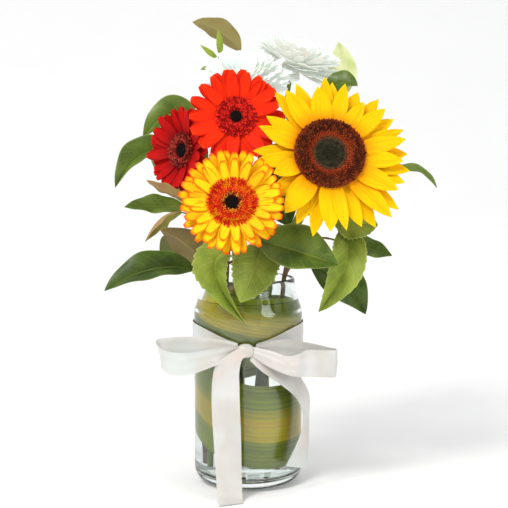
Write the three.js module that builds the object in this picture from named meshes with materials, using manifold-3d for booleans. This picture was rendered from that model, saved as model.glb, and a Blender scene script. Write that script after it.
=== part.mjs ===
// A mixed bouquet in a clear glass jar vase: a sunflower, three gerberas, two white
// chrysanthemums and broad evergreen leaves, with a variegated leaf rolled inside the glass
// and a satin ribbon tied round it.
// Millimetres, +Z up, the front towards -Y. The origin is the middle of the vase's flat foot.
import * as THREE from "three";
import { mergeVertices } from "three/addons/utils/BufferGeometryUtils.js";
import Module from "manifold-3d";

const wasm = await Module();
wasm.setup();

// ---------------------------------------------------------------- driving dimensions
const GAP = 0.4; // clearance between touching pieces

const VASE = {
  height: 207,
  radius: 54.5, // outside of the body
  neckRadius: 47, // outside of the neck
  shoulderLow: 170, // where the body starts to draw in
  shoulderHigh: 200, // where the neck starts
  wall: 3.5,
  floor: 10, // thickness of the glass under the water
  footRadius: 40, // the flat that it stands on
  cornerHeight: 16, // height of the rounded corner above the foot
  segments: 36,
};
const WATER_LEVEL = 185;
const STEM_FOOT = 16; // height of the cut ends above the table

const ROLLED_LEAF = {
  thickness: 0.6,
  // turns from the front, height of the midrib and width there
  route: [
    [-0.5, 176, 30],
    [-0.25, 164, 62],
    [0, 158, 66],
    [0.25, 158, 56],
    [0.5, 136, 72],
    [0.75, 96, 84],
    [1, 66, 82],
    [1.25, 64, 80],
    [1.5, 62, 50],
  ],
  outermost: 1.2, // depth of the first turn inside the glass
  perTurn: 1.3, // and how much deeper each turn lies
};

const RIBBON = { width: 25, thickness: 0.7, height: 151, dip: 9 };

// ---------------------------------------------------------------- small helpers
const at = (x, y, z) => new THREE.Vector3(x, y, z);
const degrees = (angle) => (angle * Math.PI) / 180;
const clamp01 = (value) => Math.min(1, Math.max(0, value));
const smooth = (value) => clamp01(value) ** 2 * (3 - 2 * clamp01(value));

function finish(color, roughness, extra = {}) {
  return new THREE.MeshStandardMaterial({ color, roughness, metalness: 0, ...extra });
}

function solid(geometry) {
  const bare = geometry.clone();
  bare.deleteAttribute("normal");
  bare.deleteAttribute("uv");
  const merged = mergeVertices(bare, 1e-3);
  return new wasm.Manifold(
    new wasm.Mesh({
      numProp: 3,
      vertProperties: new Float32Array(merged.attributes.position.array),
      triVerts: new Uint32Array(merged.index.array),
    }),
  );
}

function geometryOf(manifold) {
  const mesh = manifold.getMesh();
  const positions = new Float32Array(mesh.numVert * 3);
  for (let i = 0; i < mesh.numVert; i++) {
    positions.set(mesh.vertProperties.subarray(i * mesh.numProp, i * mesh.numProp + 3), i * 3);
  }
  return new THREE.BufferGeometry()
    .setAttribute("position", new THREE.BufferAttribute(positions, 3))
    .setIndex(new THREE.BufferAttribute(new Uint32Array(mesh.triVerts), 1));
}

// Joins closed pieces into one body, and drops the slivers that joining leaves.
function joined(geometries) {
  return geometryOf(geometries.map(solid).reduce((all, one) => all.add(one)).simplify(0.05));
}

// A block of along x across x 1 cells, each corner moved to place(t, v, side):
// t runs 0 to 1 along it, v -1 to 1 across it and side -1 to 1 through its thickness.
function bentBlock(along, across, place) {
  const geometry = new THREE.BoxGeometry(1, 1, 1, along, across, 1);
  const position = geometry.attributes.position;
  for (let i = 0; i < position.count; i++) {
    const moved = place(position.getX(i) + 0.5, 2 * position.getY(i), 2 * position.getZ(i));
    position.setXYZ(i, moved.x, moved.y, moved.z);
  }
  return geometry;
}

function lathe(profile, segments) {
  const points = profile.map(([radius, height]) => new THREE.Vector2(radius, height));
  return new THREE.LatheGeometry(points, segments).rotateX(Math.PI / 2);
}

function tube(route, radius, steps = 10, sides = 6) {
  const section = new THREE.Shape();
  for (let i = 0; i < sides; i++) {
    const angle = (2 * Math.PI * i) / sides;
    const corner = [radius * Math.cos(angle), radius * Math.sin(angle)];
    i ? section.lineTo(...corner) : section.moveTo(...corner);
  }
  section.closePath();
  const extrudePath = new THREE.CatmullRomCurve3(route.map((p) => at(...p)));
  return new THREE.ExtrudeGeometry(section, { extrudePath, steps, bevelEnabled: false });
}

// ---------------------------------------------------------------- the vase and what it holds
function outerRadius(height) {
  const { radius, neckRadius, shoulderLow, shoulderHigh } = VASE;
  return radius - (radius - neckRadius) * smooth((height - shoulderLow) / (shoulderHigh - shoulderLow));
}

const innerRadius = (height) => outerRadius(height) - VASE.wall;

function vaseProfile() {
  const { height, radius, wall, floor, footRadius, cornerHeight, shoulderLow, shoulderHigh } = VASE;
  const corner = (fromRadius, toRadius, low, high) =>
    [0, 45, 90].map((angle) => [
      fromRadius + (toRadius - fromRadius) * Math.sin(degrees(angle)),
      high - (high - low) * Math.cos(degrees(angle)),
    ]);
  const shoulder = [0, 0.33, 0.67, 1].map((s) => shoulderLow + s * (shoulderHigh - shoulderLow));
  return [
    [0, 0],
    ...corner(footRadius, radius, 0, cornerHeight),
    ...shoulder.map((z) => [outerRadius(z), z]),
    [outerRadius(height), height],
    [innerRadius(height), height],
    ...shoulder.reverse().map((z) => [innerRadius(z), z]),
    ...corner(footRadius - 2, radius - wall, floor, floor + cornerHeight - 2).reverse(),
    [0, floor],
  ];
}

// The water stands inside the rolled leaf and round every stem.
function waterGeometry(routes) {
  const clear = 5.2; // room left for the glass and the rolled leaf
  const low = VASE.floor + GAP;
  const body = lathe(
    [
      [0, low],
      [VASE.footRadius - 6, low],
      [VASE.radius - VASE.wall - clear, low + 16],
      [VASE.radius - VASE.wall - clear, VASE.shoulderLow],
      [innerRadius(WATER_LEVEL) - clear, WATER_LEVEL],
      [0, WATER_LEVEL],
    ],
    VASE.segments,
  );
  let water = solid(body);
  for (const { route, radius } of routes) {
    const [[x, y, z], ...upper] = route;
    const room = tube([[x, y, z - 2 * GAP], ...upper], radius + 2 * GAP, 11, 7);
    water = water.subtract(solid(room));
  }
  return geometryOf(water.simplify(0.05));
}

// A long strap leaf rolled nearly twice round the inside of the glass, each turn inside
// the one before it.
function rolledLeafGeometry() {
  const { route, thickness, outermost, perTurn } = ROLLED_LEAF;
  const middle = new THREE.CatmullRomCurve3(route.map((key) => at(...key)), false, "catmullrom");
  return bentBlock(48, 2, (t, v, side) => {
    const { x: turns, y: height, z: width } = middle.getPoint(t);
    const z = height + (v * width) / 2;
    const depth = outermost + perTurn * (turns - route[0][0]);
    const radius = innerRadius(z) - depth + (side * thickness) / 2;
    const angle = 2 * Math.PI * turns;
    return at(radius * Math.sin(angle), -radius * Math.cos(angle), z);
  });
}

// ---------------------------------------------------------------- leaves
// A leaf follows an arc through base, middle and tip. face is roughly where its upper side
// looks, and fold lifts both halves towards it, like a shallow V.
function ribOf({ base, middle, tip }) {
  const pull = at(...middle).multiplyScalar(2).addScaledVector(at(...base), -0.5).addScaledVector(at(...tip), -0.5);
  return new THREE.QuadraticBezierCurve3(at(...base), pull, at(...tip));
}

function leafGeometry({ width, face, fold = 15, stalk = 0.14, thickness = 0.9, ...arc }) {
  const rib = ribOf(arc);
  const faceWay = at(...face).normalize();
  return bentBlock(6, 2, (t, v, side) => {
    const along = rib.getTangent(t);
    const across = faceWay.clone().cross(along).normalize();
    const up = along.clone().cross(across);
    const blade = clamp01((t - stalk) / (1 - stalk));
    const full = Math.sin(Math.PI * blade ** 0.9) ** 0.85;
    const half = Math.max(t < stalk ? 1.4 : 0.8, (width / 2) * full);
    return rib
      .getPoint(t)
      .addScaledVector(across, half * v * Math.cos(degrees(fold)))
      .addScaledVector(up, half * Math.abs(v) * Math.sin(degrees(fold)) + (side * thickness) / 2);
  });
}

const LEAVES = {
  leaf_lower_left_long: { base: [-36, -17, 212], middle: [-88, -32, 219], tip: [-139, -45, 199], width: 36, face: [0, -0.62, 0.78], fold: 22 },
  leaf_brown_underside: { base: [-40, -2, 212], middle: [-57, -6, 236], tip: [-88, -12, 257], width: 27, face: [-0.45, 0.8, 0.4], fold: 18 },
  leaf_left_pink: { base: [-56, -30, 272], middle: [-80, -44, 272], tip: [-98, -58, 248], width: 22, face: [0.3, -0.55, -0.78], fold: 25 },
  leaf_left_bright_tip: { base: [-50, -6, 276], middle: [-87, -14, 279], tip: [-121, -24, 279], width: 25, face: [-0.1, -0.75, 0.66], fold: 18 },
  leaf_left_brown_small: { base: [-54, -28, 285], middle: [-76, -38, 294], tip: [-97, -48, 306], width: 18, face: [0, 0.5, 0.87], fold: 15 },
  leaf_left_folded: { base: [-66, 32, 326], middle: [-104, 25, 331], tip: [-133, 4, 297], width: 38, face: [-0.3, -0.8, 0.5], fold: 20 },
  leaf_left_upper: { base: [-44, 38, 342], middle: [-74, 40, 371], tip: [-108, 38, 346], width: 38, face: [-0.3, -0.85, 0.4], fold: 12 },
  leaf_top_left: { base: [-2, 36, 424], middle: [-25, 26, 451], tip: [-55, 10, 461], width: 27, face: [0.35, 0.8, 0.45], fold: 12 },
  leaf_top_right_pale: { base: [95, 76, 378], middle: [101, 92, 412], tip: [96, 94, 448], width: 34, face: [-0.3, -0.95, 0], fold: 14 },
  leaf_top_right_dark: { base: [76, 18, 382], middle: [91, 10, 400], tip: [109, 4, 398], width: 28, face: [0.1, -0.8, 0.6], fold: 14 },
  leaf_right_far: { base: [116, 14, 296], middle: [160, 6, 316], tip: [188, -4, 297], width: 15, face: [0.2, -0.5, 0.85], fold: 12 },
  leaf_right_small_tip: { base: [78, -6, 247], middle: [114, -10, 238], tip: [143, -14, 230], width: 25, face: [0, -0.75, 0.65], fold: 15 },
  leaf_right_hanging: { base: [86, -36, 270], middle: [94, -70, 232], tip: [68, -62, 181], width: 42, face: [0.1, -1, 0.2], fold: 14 },
  leaf_under_sunflower: { base: [76, -50, 281], middle: [100, -56, 268], tip: [124, -60, 264], width: 30, face: [0, -0.9, 0.4], fold: 12 },
  leaf_right_dark: { base: [50, -20, 224], middle: [88, -30, 208], tip: [115, -38, 175], width: 44, face: [0.1, -0.9, 0.4], fold: 14 },
  leaf_front_oval: { base: [0, -58, 251], middle: [42, -80, 242], tip: [84, -94, 229], width: 52, face: [0, -0.85, 0.5], fold: 12 },
  leaf_front_serrated_right: { base: [14, -50, 247], middle: [6, -77, 222], tip: [-7, -84, 193], width: 46, face: [0, -0.95, 0.3], fold: 8 },
  leaf_front_serrated_left: { base: [-21, -42, 238], middle: [-30, -60, 214], tip: [-1, -62, 168], width: 32, face: [-0.3, -0.9, 0.3], fold: 18 },
  leaf_back_left: { base: [-30, 30, 262], middle: [-68, 62, 300], tip: [-104, 70, 330], width: 46, face: [-0.3, 0.8, 0.5], fold: 15 },
  leaf_back_right: { base: [58, 30, 290], middle: [92, 62, 312], tip: [130, 66, 330], width: 46, face: [0.3, 0.85, 0.5], fold: 15 },
  leaf_back_middle: { base: [-6, 54, 320], middle: [8, 84, 356], tip: [14, 84, 404], width: 48, face: [0, 0.95, 0.3], fold: 15 },
  leaf_back_low: { base: [2, 48, 232], middle: [20, 88, 240], tip: [30, 118, 206], width: 46, face: [0, 0.7, 0.7], fold: 15 },
  leaf_inner: { base: [45, 4, 248], middle: [30, 10, 288], tip: [12, 9, 338], width: 38, face: [0.1, -1, 0.15], fold: 10 },
  leaf_back_low_left: { base: [-34, 26, 232], middle: [-66, 66, 236], tip: [-92, 96, 208], width: 46, face: [-0.3, 0.6, 0.75], fold: 15 },
};

// A young forked shoot: a thin green stalk with two curled leaflets.
function youngShootGeometry() {
  const stalk = tube([[-31, 38, 398], [-32, 30, 410], [-28, 12, 428]], 1.6, 4, 6);
  const upright = { base: [-28, 13, 424], middle: [-28, 10, 438], tip: [-30, 6, 453] };
  const hooked = { base: [-28, 13, 424], middle: [-37, 9, 430], tip: [-47, 3, 438] };
  const low = { base: [-31, 25, 414], middle: [-39, 18, 416], tip: [-47, 7, 414] };
  const leaflet = (arc) => leafGeometry({ ...arc, width: 6, face: [0, -1, 0.3], fold: 10, stalk: 0 });
  return joined([stalk, leaflet(upright), leaflet(hooked), leaflet(low)]);
}

// Each twig carries the leaves named, and ends at the last of them.
const TWIGS = {
  twig_left: {
    radius: 2.2,
    route: [[-29, 14, STEM_FOOT], [-33, 8, 120], [-35, 4, 200], [-41, 12, 250], [-42, 26, 300], [-43, 36, 335]],
    carries: [
      "leaf_lower_left_long",
      "leaf_brown_underside",
      "leaf_left_bright_tip",
      "leaf_left_brown_small",
      "leaf_left_pink",
      "leaf_left_folded",
      "leaf_back_left",
      "leaf_back_low_left",
    ],
  },
  twig_right: {
    radius: 2.2,
    route: [[24, -16, STEM_FOOT], [31, -18, 120], [35, -10, 200], [48, 10, 250], [66, 20, 310], [73, 24, 372]],
    carries: [
      "leaf_top_right_pale",
      "leaf_right_far",
      "leaf_right_small_tip",
      "leaf_right_dark",
      "leaf_back_right",
    ],
  },
  twig_back: {
    radius: 2.2,
    route: [[-14, 26, STEM_FOOT], [-20, 24, 120], [-22, 22, 200], [-18, 36, 260], [-14, 44, 340], [-8, 38, 408]],
    carries: ["leaf_back_middle", "leaf_back_low"],
  },
};

// A leaf's stalk leaves its twig a little below the leaf and runs into the leaf's rib.
function stalkTo(leafName, route, radius = 1.3, drop = 22) {
  const rib = ribOf(LEAVES[leafName]);
  const base = rib.getPoint(0);
  const way = rib.getTangent(0);
  const below = base.clone().add(at(0, 0, -drop));
  const parent = new THREE.CatmullRomCurve3(route.map((p) => at(...p)));
  const [root] = parent.getPoints(80).sort((a, b) => a.distanceTo(below) - b.distanceTo(below));
  const reach = root.distanceTo(base);
  const stops = [root, base.clone().addScaledVector(way, -0.35 * reach), base.clone().addScaledVector(way, -GAP)];
  const path = new THREE.QuadraticBezierCurve3(...stops);
  return tube(path.getPoints(3).map((p) => p.toArray()), radius, 5, 6);
}

function twigGeometry({ route, radius, carries }) {
  return joined([tube(route, radius, 11), ...carries.map((name) => stalkTo(name, route))]);
}

// ---------------------------------------------------------------- flower heads
// A petal lies along +X and bends up on an arc: outline gives its width at even steps,
// as shares of the full width. turn swings it round the head.
function petalGeometry({ root, length, width, rise, curl, outline, thickness, lift, turn }) {
  const last = outline.length - 1;
  const bend = degrees(curl) || 1e-3;
  const start = degrees(rise);
  const geometry = bentBlock(last, 1, (t, v, side) => {
    const slope = start + bend * t;
    const reach = root + (length * (Math.sin(slope) - Math.sin(start))) / bend;
    const height = lift + (length * (Math.cos(start) - Math.cos(slope))) / bend;
    const half = (width * outline[Math.round(t * last)]) / 2;
    const through = (side * thickness) / 2;
    return at(reach - through * Math.sin(slope), v * half, height + through * Math.cos(slope));
  });
  return geometry.rotateZ(turn);
}

// Every layer's petals grow from one ring of the head, which joins them into one piece.
function petalRing({ ring, layers, outline, thickness = 0.9 }) {
  const [inner, outer, low, high] = ring;
  const parts = [lathe([[inner, low], [outer, low], [outer, high], [inner, high], [inner, low]], 16)];
  for (const { count, phase = 0, ...layer } of layers) {
    for (let i = 0; i < count; i++) {
      const turn = (2 * Math.PI * (i + phase)) / count;
      parts.push(petalGeometry({ outline, thickness, ...layer, turn }));
    }
  }
  return joined(parts);
}

const GERBERA_OUTLINE = [0.4, 1, 0.65];
const SUNFLOWER_OUTLINE = [0.55, 1, 0.12];
const DAISY_OUTLINE = [0.3, 1, 0.5];

const dome = (radius, low, high) =>
  lathe([[0, low], [radius, low], [radius, low + (high - low) * 0.45], [0, high]], 14);

const cup = (topRadius, top, stemRadius, bottom) =>
  lathe([[0, bottom], [stemRadius, bottom], [topRadius * 0.8, bottom * 0.5], [topRadius, top], [0, top]], 14);

function gerbera(rays, innerOuter) {
  return {
    rays: petalRing({ ring: [3, 9, 0, 1.6], layers: rays, outline: GERBERA_OUTLINE }),
    inner: petalRing({
      ring: [7.2, 9, 2.2, 3.6],
      outline: [0.6, 0.8],
      layers: [{ count: 16, root: 8, length: innerOuter - 8, width: 3, rise: 34, curl: -18, lift: 3 }],
    }),
    disc: dome(6.6, 2.2, 6.5),
  };
}

function placed(geometry, centre, facing) {
  const turn = new THREE.Quaternion().setFromUnitVectors(at(0, 0, 1), at(...facing).normalize());
  return geometry.clone().applyMatrix4(new THREE.Matrix4().compose(at(...centre), turn, at(1, 1, 1)));
}

// The last points of a stem: it leaves the back of the head along its axis.
function neckOf({ centre, facing }, ...distances) {
  const way = at(...facing).normalize();
  return distances.map((distance) => at(...centre).addScaledVector(way, -distance).toArray());
}

const HEADS = {
  sunflower: { centre: [76, -78, 331], facing: [0.12, -0.92, 0.34] },
  orange_gerbera: { centre: [-11, -60, 366], facing: [0.02, -0.98, 0.2] },
  red_gerbera: { centre: [-62, -15, 334], facing: [-0.72, -0.68, 0.12] },
  yellow_gerbera: { centre: [-14, -112, 288], facing: [0.02, -0.97, 0.24] },
  white_right: { centre: [47, 56, 420], facing: [0.24, -0.22, 0.95] },
  white_left: { centre: [-3, -14, 401], facing: [-0.06, -0.5, 0.86] },
};

const STEMS = {
  sunflower: {
    radius: 5,
    under: [23, 34],
    carries: [
      "leaf_front_serrated_left",
      "leaf_front_serrated_right",
      "leaf_front_oval",
      "leaf_right_hanging",
      "leaf_under_sunflower",
      "leaf_inner",
    ],
    low: [[4, -4, STEM_FOOT], [12, -6, 120], [20, -8, 200], [38, -4, 240], [62, -14, 290]],
  },
  orange_gerbera: { radius: 2.6, under: [11, 24], low: [[-12, -6, STEM_FOOT], [-10, -5, 120], [-8, -4, 200], [-9, -8, 270], [-10, -18, 335]] },
  red_gerbera: { radius: 2.6, under: [11, 24], low: [[-30, -4, STEM_FOOT], [-28, -6, 120], [-26, -8, 200], [-28, -4, 250], [-36, 2, 305]] },
  yellow_gerbera: { radius: 2.6, under: [11, 24], low: [[-8, -26, STEM_FOOT], [-10, -26, 120], [-12, -24, 200], [-13, -44, 242], [-14, -68, 270]] },
  white_right: { radius: 2.2, under: [8, 16], low: [[14, 12, STEM_FOOT], [12, 13, 120], [10, 14, 200], [20, 30, 290], [36, 44, 365]] },
  white_left: { radius: 2.2, under: [8, 16], low: [[-4, 14, STEM_FOOT], [-5, 12, 120], [-6, 10, 200], [-4, 16, 290], [-2, 8, 350]] },
};

function stemRoute(name) {
  const { under, low } = STEMS[name];
  return [...low, ...neckOf(HEADS[name], ...under).reverse()];
}

// A stem, the green cup under its head and the stalks of its own leaves grew as one piece.
function stemGeometry(name, green) {
  const { centre, facing } = HEADS[name];
  const route = stemRoute(name);
  const stalks = (STEMS[name].carries ?? []).map((leaf) => stalkTo(leaf, route));
  return joined([tube(route, STEMS[name].radius, 11, 7), placed(green, centre, facing), ...stalks]);
}

// ---------------------------------------------------------------- the ribbon
function ribbonBand() {
  const { width, thickness, height, dip } = RIBBON;
  const gapTurns = 0.025; // left open at the front for the knot
  return bentBlock(36, 1, (t, v, side) => {
    const turns = gapTurns + (1 - 2 * gapTurns) * t;
    const fromFront = Math.min(turns, 1 - turns);
    const nearKnot = Math.exp(-((fromFront / 0.1) ** 2));
    const radius = VASE.radius + GAP + thickness / 2 + (side * thickness) / 2;
    const z = height - dip * nearKnot + (v * width * (1 - 0.45 * nearKnot)) / 2;
    const angle = -2 * Math.PI * turns;
    return at(-radius * Math.sin(angle), -radius * Math.cos(angle), z);
  });
}

// A flat strip along a route. faces says which way its broad side looks on the way.
function strip({ route, faces, width, thickness = RIBBON.thickness, steps = 16 }) {
  const middle = new THREE.CatmullRomCurve3(route.map((p) => at(...p)));
  const looking = new THREE.CatmullRomCurve3(faces.map((p) => at(...p)));
  return bentBlock(steps, 1, (t, v, side) => {
    const along = middle.getTangent(t);
    const face = looking.getPoint(t).normalize();
    const across = face.clone().cross(along).normalize();
    const up = along.clone().cross(across);
    return middle
      .getPoint(t)
      .addScaledVector(across, (v * width) / 2)
      .addScaledVector(up, (side * thickness) / 2);
  });
}

// A bow loop seen from above is a teardrop, drawn out to the side and extruded upwards.
function bowLoop({ from, to, y, low, high, swell }) {
  const outline = (inset) => {
    const points = [];
    for (let i = 0; i < 16; i++) {
      const angle = (2 * Math.PI * i) / 16;
      const share = (1 - Math.cos(angle)) / 2; // 0 at the knot, 1 at the far end
      const reach = from + (to - from) * share;
      const pinch = 0.35 + 0.65 * share;
      const inward = Math.sign(to - from) * inset * Math.cos(angle);
      points.push(new THREE.Vector2(reach + inward, y + Math.sin(angle) * (swell * pinch - inset)));
    }
    return points;
  };
  const shape = new THREE.Shape(outline(0));
  shape.holes.push(new THREE.Path(outline(RIBBON.thickness * 1.4).reverse()));
  const geometry = new THREE.ExtrudeGeometry(shape, { depth: high - low, bevelEnabled: false });
  return geometry.translate(0, 0, low);
}

// ---------------------------------------------------------------- the scene graph
const FINISHES = {
  glass: finish(0xd4e6e4, 0.05, { transparent: true, opacity: 0.35 }),
  water: finish(0xe4f0ea, 0.05, { transparent: true, opacity: 0.35 }),
  rolledLeaf: finish(0x73882f, 0.5),
  leaf: finish(0x4d6b32, 0.42),
  brownLeaf: finish(0x7a6a42, 0.7),
  twig: finish(0x5c4632, 0.8),
  stem: finish(0x6f8f3a, 0.55),
  sunflowerPetal: finish(0xffce08, 0.55),
  sunflowerRing: finish(0x5a1c10, 0.9),
  sunflowerCentre: finish(0x3b3a2a, 0.95),
  orangePetal: finish(0xf53308, 0.5),
  redPetal: finish(0xc8080a, 0.5),
  yellowPetal: finish(0xf9b414, 0.5),
  whitePetal: finish(0xf2f3ec, 0.55),
  redFloret: finish(0xb41412, 0.6),
  orangeFloret: finish(0xee4408, 0.6),
  darkDisc: finish(0x120a0c, 0.9),
  paleDisc: finish(0xd9d27c, 0.8),
  satin: finish(0xebe6dd, 0.4),
};

const bouquet = new THREE.Group();

function add(name, geometry, material, parent = bouquet) {
  const mesh = new THREE.Mesh(geometry, material);
  mesh.name = name;
  parent.add(mesh);
}

function addHead(name, pieces) {
  const { centre, facing } = HEADS[name];
  const head = new THREE.Group();
  head.position.set(...centre);
  head.quaternion.setFromUnitVectors(at(0, 0, 1), at(...facing).normalize());
  bouquet.add(head);
  for (const [piece, geometry, material] of pieces) add(`${name}_${piece}`, geometry, material, head);
}

function addVase() {
  const routes = Object.keys(STEMS).map((name) => ({ route: stemRoute(name), radius: STEMS[name].radius }));
  const waterRoutes = [...routes, ...Object.values(TWIGS)];
  add("vase_glass", lathe(vaseProfile(), VASE.segments), FINISHES.glass);
  add("rolled_leaf", rolledLeafGeometry(), FINISHES.rolledLeaf);
  add("water", waterGeometry(waterRoutes), FINISHES.water);
}

function addGerbera(name, rays, innerOuter, petal, floret) {
  const { rays: ring, inner, disc } = gerbera(rays, innerOuter);
  add(`${name}_stem`, stemGeometry(name, cup(9, -GAP, 3, -14)), FINISHES.stem);
  addHead(name, [
    ["ray_petals", ring, petal],
    ["inner_florets", inner, floret],
    ["disc", disc, FINISHES.darkDisc],
  ]);
}

function addGerberas() {
  const rays = (length, width, count) => [
    { count, root: 7, length, width, rise: 4, curl: 10, lift: 0.5 },
    { count, phase: 0.5, root: 7, length: length * 0.95, width, rise: 10, curl: 10, lift: 1.1 },
  ];
  addGerbera("orange_gerbera", rays(38, 9, 12), 18, FINISHES.orangePetal, FINISHES.redFloret);
  addGerbera("red_gerbera", rays(35, 8, 12), 17, FINISHES.redPetal, FINISHES.redFloret);
  const yellow = [...rays(42, 8, 14), { count: 12, root: 7, length: 32, width: 6, rise: 12, curl: 14, lift: 1.2 }];
  addGerbera("yellow_gerbera", yellow, 21, FINISHES.yellowPetal, FINISHES.orangeFloret);
}

function addSunflower() {
  const petals = (lift, rise, phase, length) =>
    petalRing({
      ring: [10, 32, lift - 0.7, lift + 0.7],
      outline: SUNFLOWER_OUTLINE,
      thickness: 1,
      layers: [{ count: 17, phase, root: 29, length, width: 15, rise, curl: 4, lift }],
    });
  const collar = lathe([[17, 3.4], [33, 3.4], [34, 7], [27, 12], [17, 9], [17, 3.4]], 24);
  add("sunflower_stem", stemGeometry("sunflower", cup(33, -1.1, 6, -24)), FINISHES.stem);
  addHead("sunflower", [
    ["back_petals", petals(0, -2, 0, 43), FINISHES.sunflowerPetal],
    ["front_petals", petals(2.2, 5, 0.5, 40), FINISHES.sunflowerPetal],
    ["floret_ring", collar, FINISHES.sunflowerRing],
    ["centre", dome(16.5, 3.4, 8), FINISHES.sunflowerCentre],
  ]);
}

function addChrysanthemums() {
  for (const name of ["white_right", "white_left"]) {
    const size = name === "white_right" ? 1 : 0.9;
    const layers = [
      { count: 16, root: 6, length: 44 * size, width: 12.3, rise: 2, curl: 8, lift: 0.5 },
      { count: 12, phase: 0.5, root: 6, length: 38 * size, width: 11, rise: 20, curl: 12, lift: 1 },
      { count: 8, phase: 0.3, root: 5.5, length: 28 * size, width: 9.5, rise: 45, curl: 18, lift: 1.1 },
    ];
    add(`${name}_stem`, stemGeometry(name, cup(8, -GAP, 2.6, -10)), FINISHES.stem);
    addHead(name, [
      ["petals", petalRing({ ring: [3, 8, 0, 1.6], layers, outline: DAISY_OUTLINE, thickness: 0.8 }), FINISHES.whitePetal],
      ["disc", dome(4.2, 2, 6), FINISHES.paleDisc],
    ]);
  }
}

function addFoliage() {
  const brown = new Set(["leaf_brown_underside", "leaf_left_brown_small", "leaf_top_left"]);
  for (const [name, leaf] of Object.entries(LEAVES)) {
    add(name, leafGeometry(leaf), brown.has(name) ? FINISHES.brownLeaf : FINISHES.leaf);
  }
  add("young_shoot", youngShootGeometry(), FINISHES.stem);
  for (const [name, twig] of Object.entries(TWIGS)) add(name, twigGeometry(twig), FINISHES.twig);
}

function addRibbon() {
  const knotFront = -(VASE.radius + GAP + RIBBON.thickness);
  const knot = new THREE.SphereGeometry(1, 12, 8).scale(7.5, 5.2, 7).translate(-3, knotFront - 6, 142);
  const leftTail = {
    route: [[-8, -69, 131], [-17, -71, 118], [-19, -71, 60], [-18, -72, 14], [-17, -77, 3.2], [-17, -84, 1.2], [-16, -97, 0.9]],
    faces: [[0.3, -1, 0], [0, -1, 0], [0, -1, 0], [0, -0.8, 0.5], [0, -0.1, 1], [0, 0, 1]],
    width: 26,
  };
  const rightTail = {
    route: [[5, -58.5, 134], [24, -56, 127], [43, -43, 112], [54, -27, 84], [54, -26, 50], [42, -40, 21]],
    faces: [[0.2, -1, 0.2], [0.6, -1, 0.2], [1, -0.3, 0.1], [1, -0.3, 0], [0.75, -0.7, 0]],
    width: 24,
  };
  add("ribbon_band", ribbonBand(), FINISHES.satin);
  add("ribbon_knot", knot, FINISHES.satin);
  add("ribbon_loop_left", bowLoop({ from: -11, to: -90, y: -64, low: 124, high: 149, swell: 8 }), FINISHES.satin);
  add("ribbon_loop_right", bowLoop({ from: 5, to: 82, y: -64, low: 118, high: 143, swell: 8 }), FINISHES.satin);
  add("ribbon_tail_front", strip(leftTail), FINISHES.satin);
  add("ribbon_tail_right", strip(rightTail), FINISHES.satin);
}

addVase();
addSunflower();
addGerberas();
addChrysanthemums();
addFoliage();
addRibbon();

export default bouquet;
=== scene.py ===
# %% [markdown]
# # A mixed bouquet in a glass jar vase
# The CAD model gives the room that every petal, leaf and loop takes. Here each of them gets its
# real surface. Nearly everything is thin and curved, so the whole bouquet is made from three
# kinds of surface, all worked out as numpy arrays: thin closed plates (petals, leaves, ribbon),
# round skins (stems, discs, the vase) and small skins repeated in a spiral (florets).

# %% Load the frame
from dataclasses import dataclass

import bpy
import numpy as np
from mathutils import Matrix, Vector


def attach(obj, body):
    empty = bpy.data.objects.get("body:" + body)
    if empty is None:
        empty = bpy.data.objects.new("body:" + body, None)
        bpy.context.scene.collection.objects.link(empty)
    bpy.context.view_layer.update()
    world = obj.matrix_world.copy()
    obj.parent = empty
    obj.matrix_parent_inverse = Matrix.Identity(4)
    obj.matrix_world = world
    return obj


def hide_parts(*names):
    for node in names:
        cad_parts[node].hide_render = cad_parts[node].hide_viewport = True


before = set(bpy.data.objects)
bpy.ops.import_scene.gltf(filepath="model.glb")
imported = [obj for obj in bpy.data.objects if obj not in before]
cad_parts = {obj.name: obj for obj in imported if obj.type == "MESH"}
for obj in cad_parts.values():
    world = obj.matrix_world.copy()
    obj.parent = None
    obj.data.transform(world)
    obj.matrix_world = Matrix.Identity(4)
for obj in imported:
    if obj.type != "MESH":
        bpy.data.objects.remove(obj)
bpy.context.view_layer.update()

MM = 0.001  # the tables below are in millimetres, and everything built is in metres

# %% [markdown]
# ## Shapes and how they become objects
# A shape is a bag of arrays: points, faces, and three values per point that the finishes read.
# uv says where a point is on its petal or leaf, tint is a random number per petal, and side is
# +1 on the upper face and -1 on the underside, so one mesh can have a glossy top and a dull back.

# %% A shape as arrays
NO_TRIS = np.zeros((0, 3), int)


@dataclass
class Shape:
    """Points, four- and three-cornered faces, and the values that the finishes read."""

    verts: np.ndarray
    quads: np.ndarray
    tris: np.ndarray
    uv: np.ndarray
    tint: np.ndarray
    side: np.ndarray


def unit(vectors):
    """Each vector over its own length."""
    vectors = np.asarray(vectors, float)
    return vectors / np.maximum(np.linalg.norm(vectors, axis=-1, keepdims=True), 1e-12)


def copies(verts, quads, tris, uv, tint, side):
    """k shapes with the same faces as one: copy k's face numbers are raised by k times its points."""
    k, n, _ = verts.shape
    step = (np.arange(k) * n)[:, None, None]
    tint = np.broadcast_to(np.asarray(tint, float).reshape(-1, 1), (k, n))
    return Shape(
        verts.reshape(-1, 3),
        (quads[None] + step).reshape(-1, 4),
        (tris[None] + step).reshape(-1, 3),
        np.tile(uv, (k, 1)),
        tint.reshape(-1),
        np.tile(side, k),
    )


def together(*shapes):
    """Several shapes as one: each one's face numbers are raised by the points before it."""
    starts = np.cumsum([0] + [len(s.verts) for s in shapes[:-1]])
    return Shape(
        np.concatenate([s.verts for s in shapes]),
        np.concatenate([s.quads + n for s, n in zip(shapes, starts)]),
        np.concatenate([s.tris + n for s, n in zip(shapes, starts)]),
        *(np.concatenate([getattr(s, key) for s in shapes]) for key in ("uv", "tint", "side")),
    )


print("shape arrays:", *Shape.__annotations__)

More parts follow.
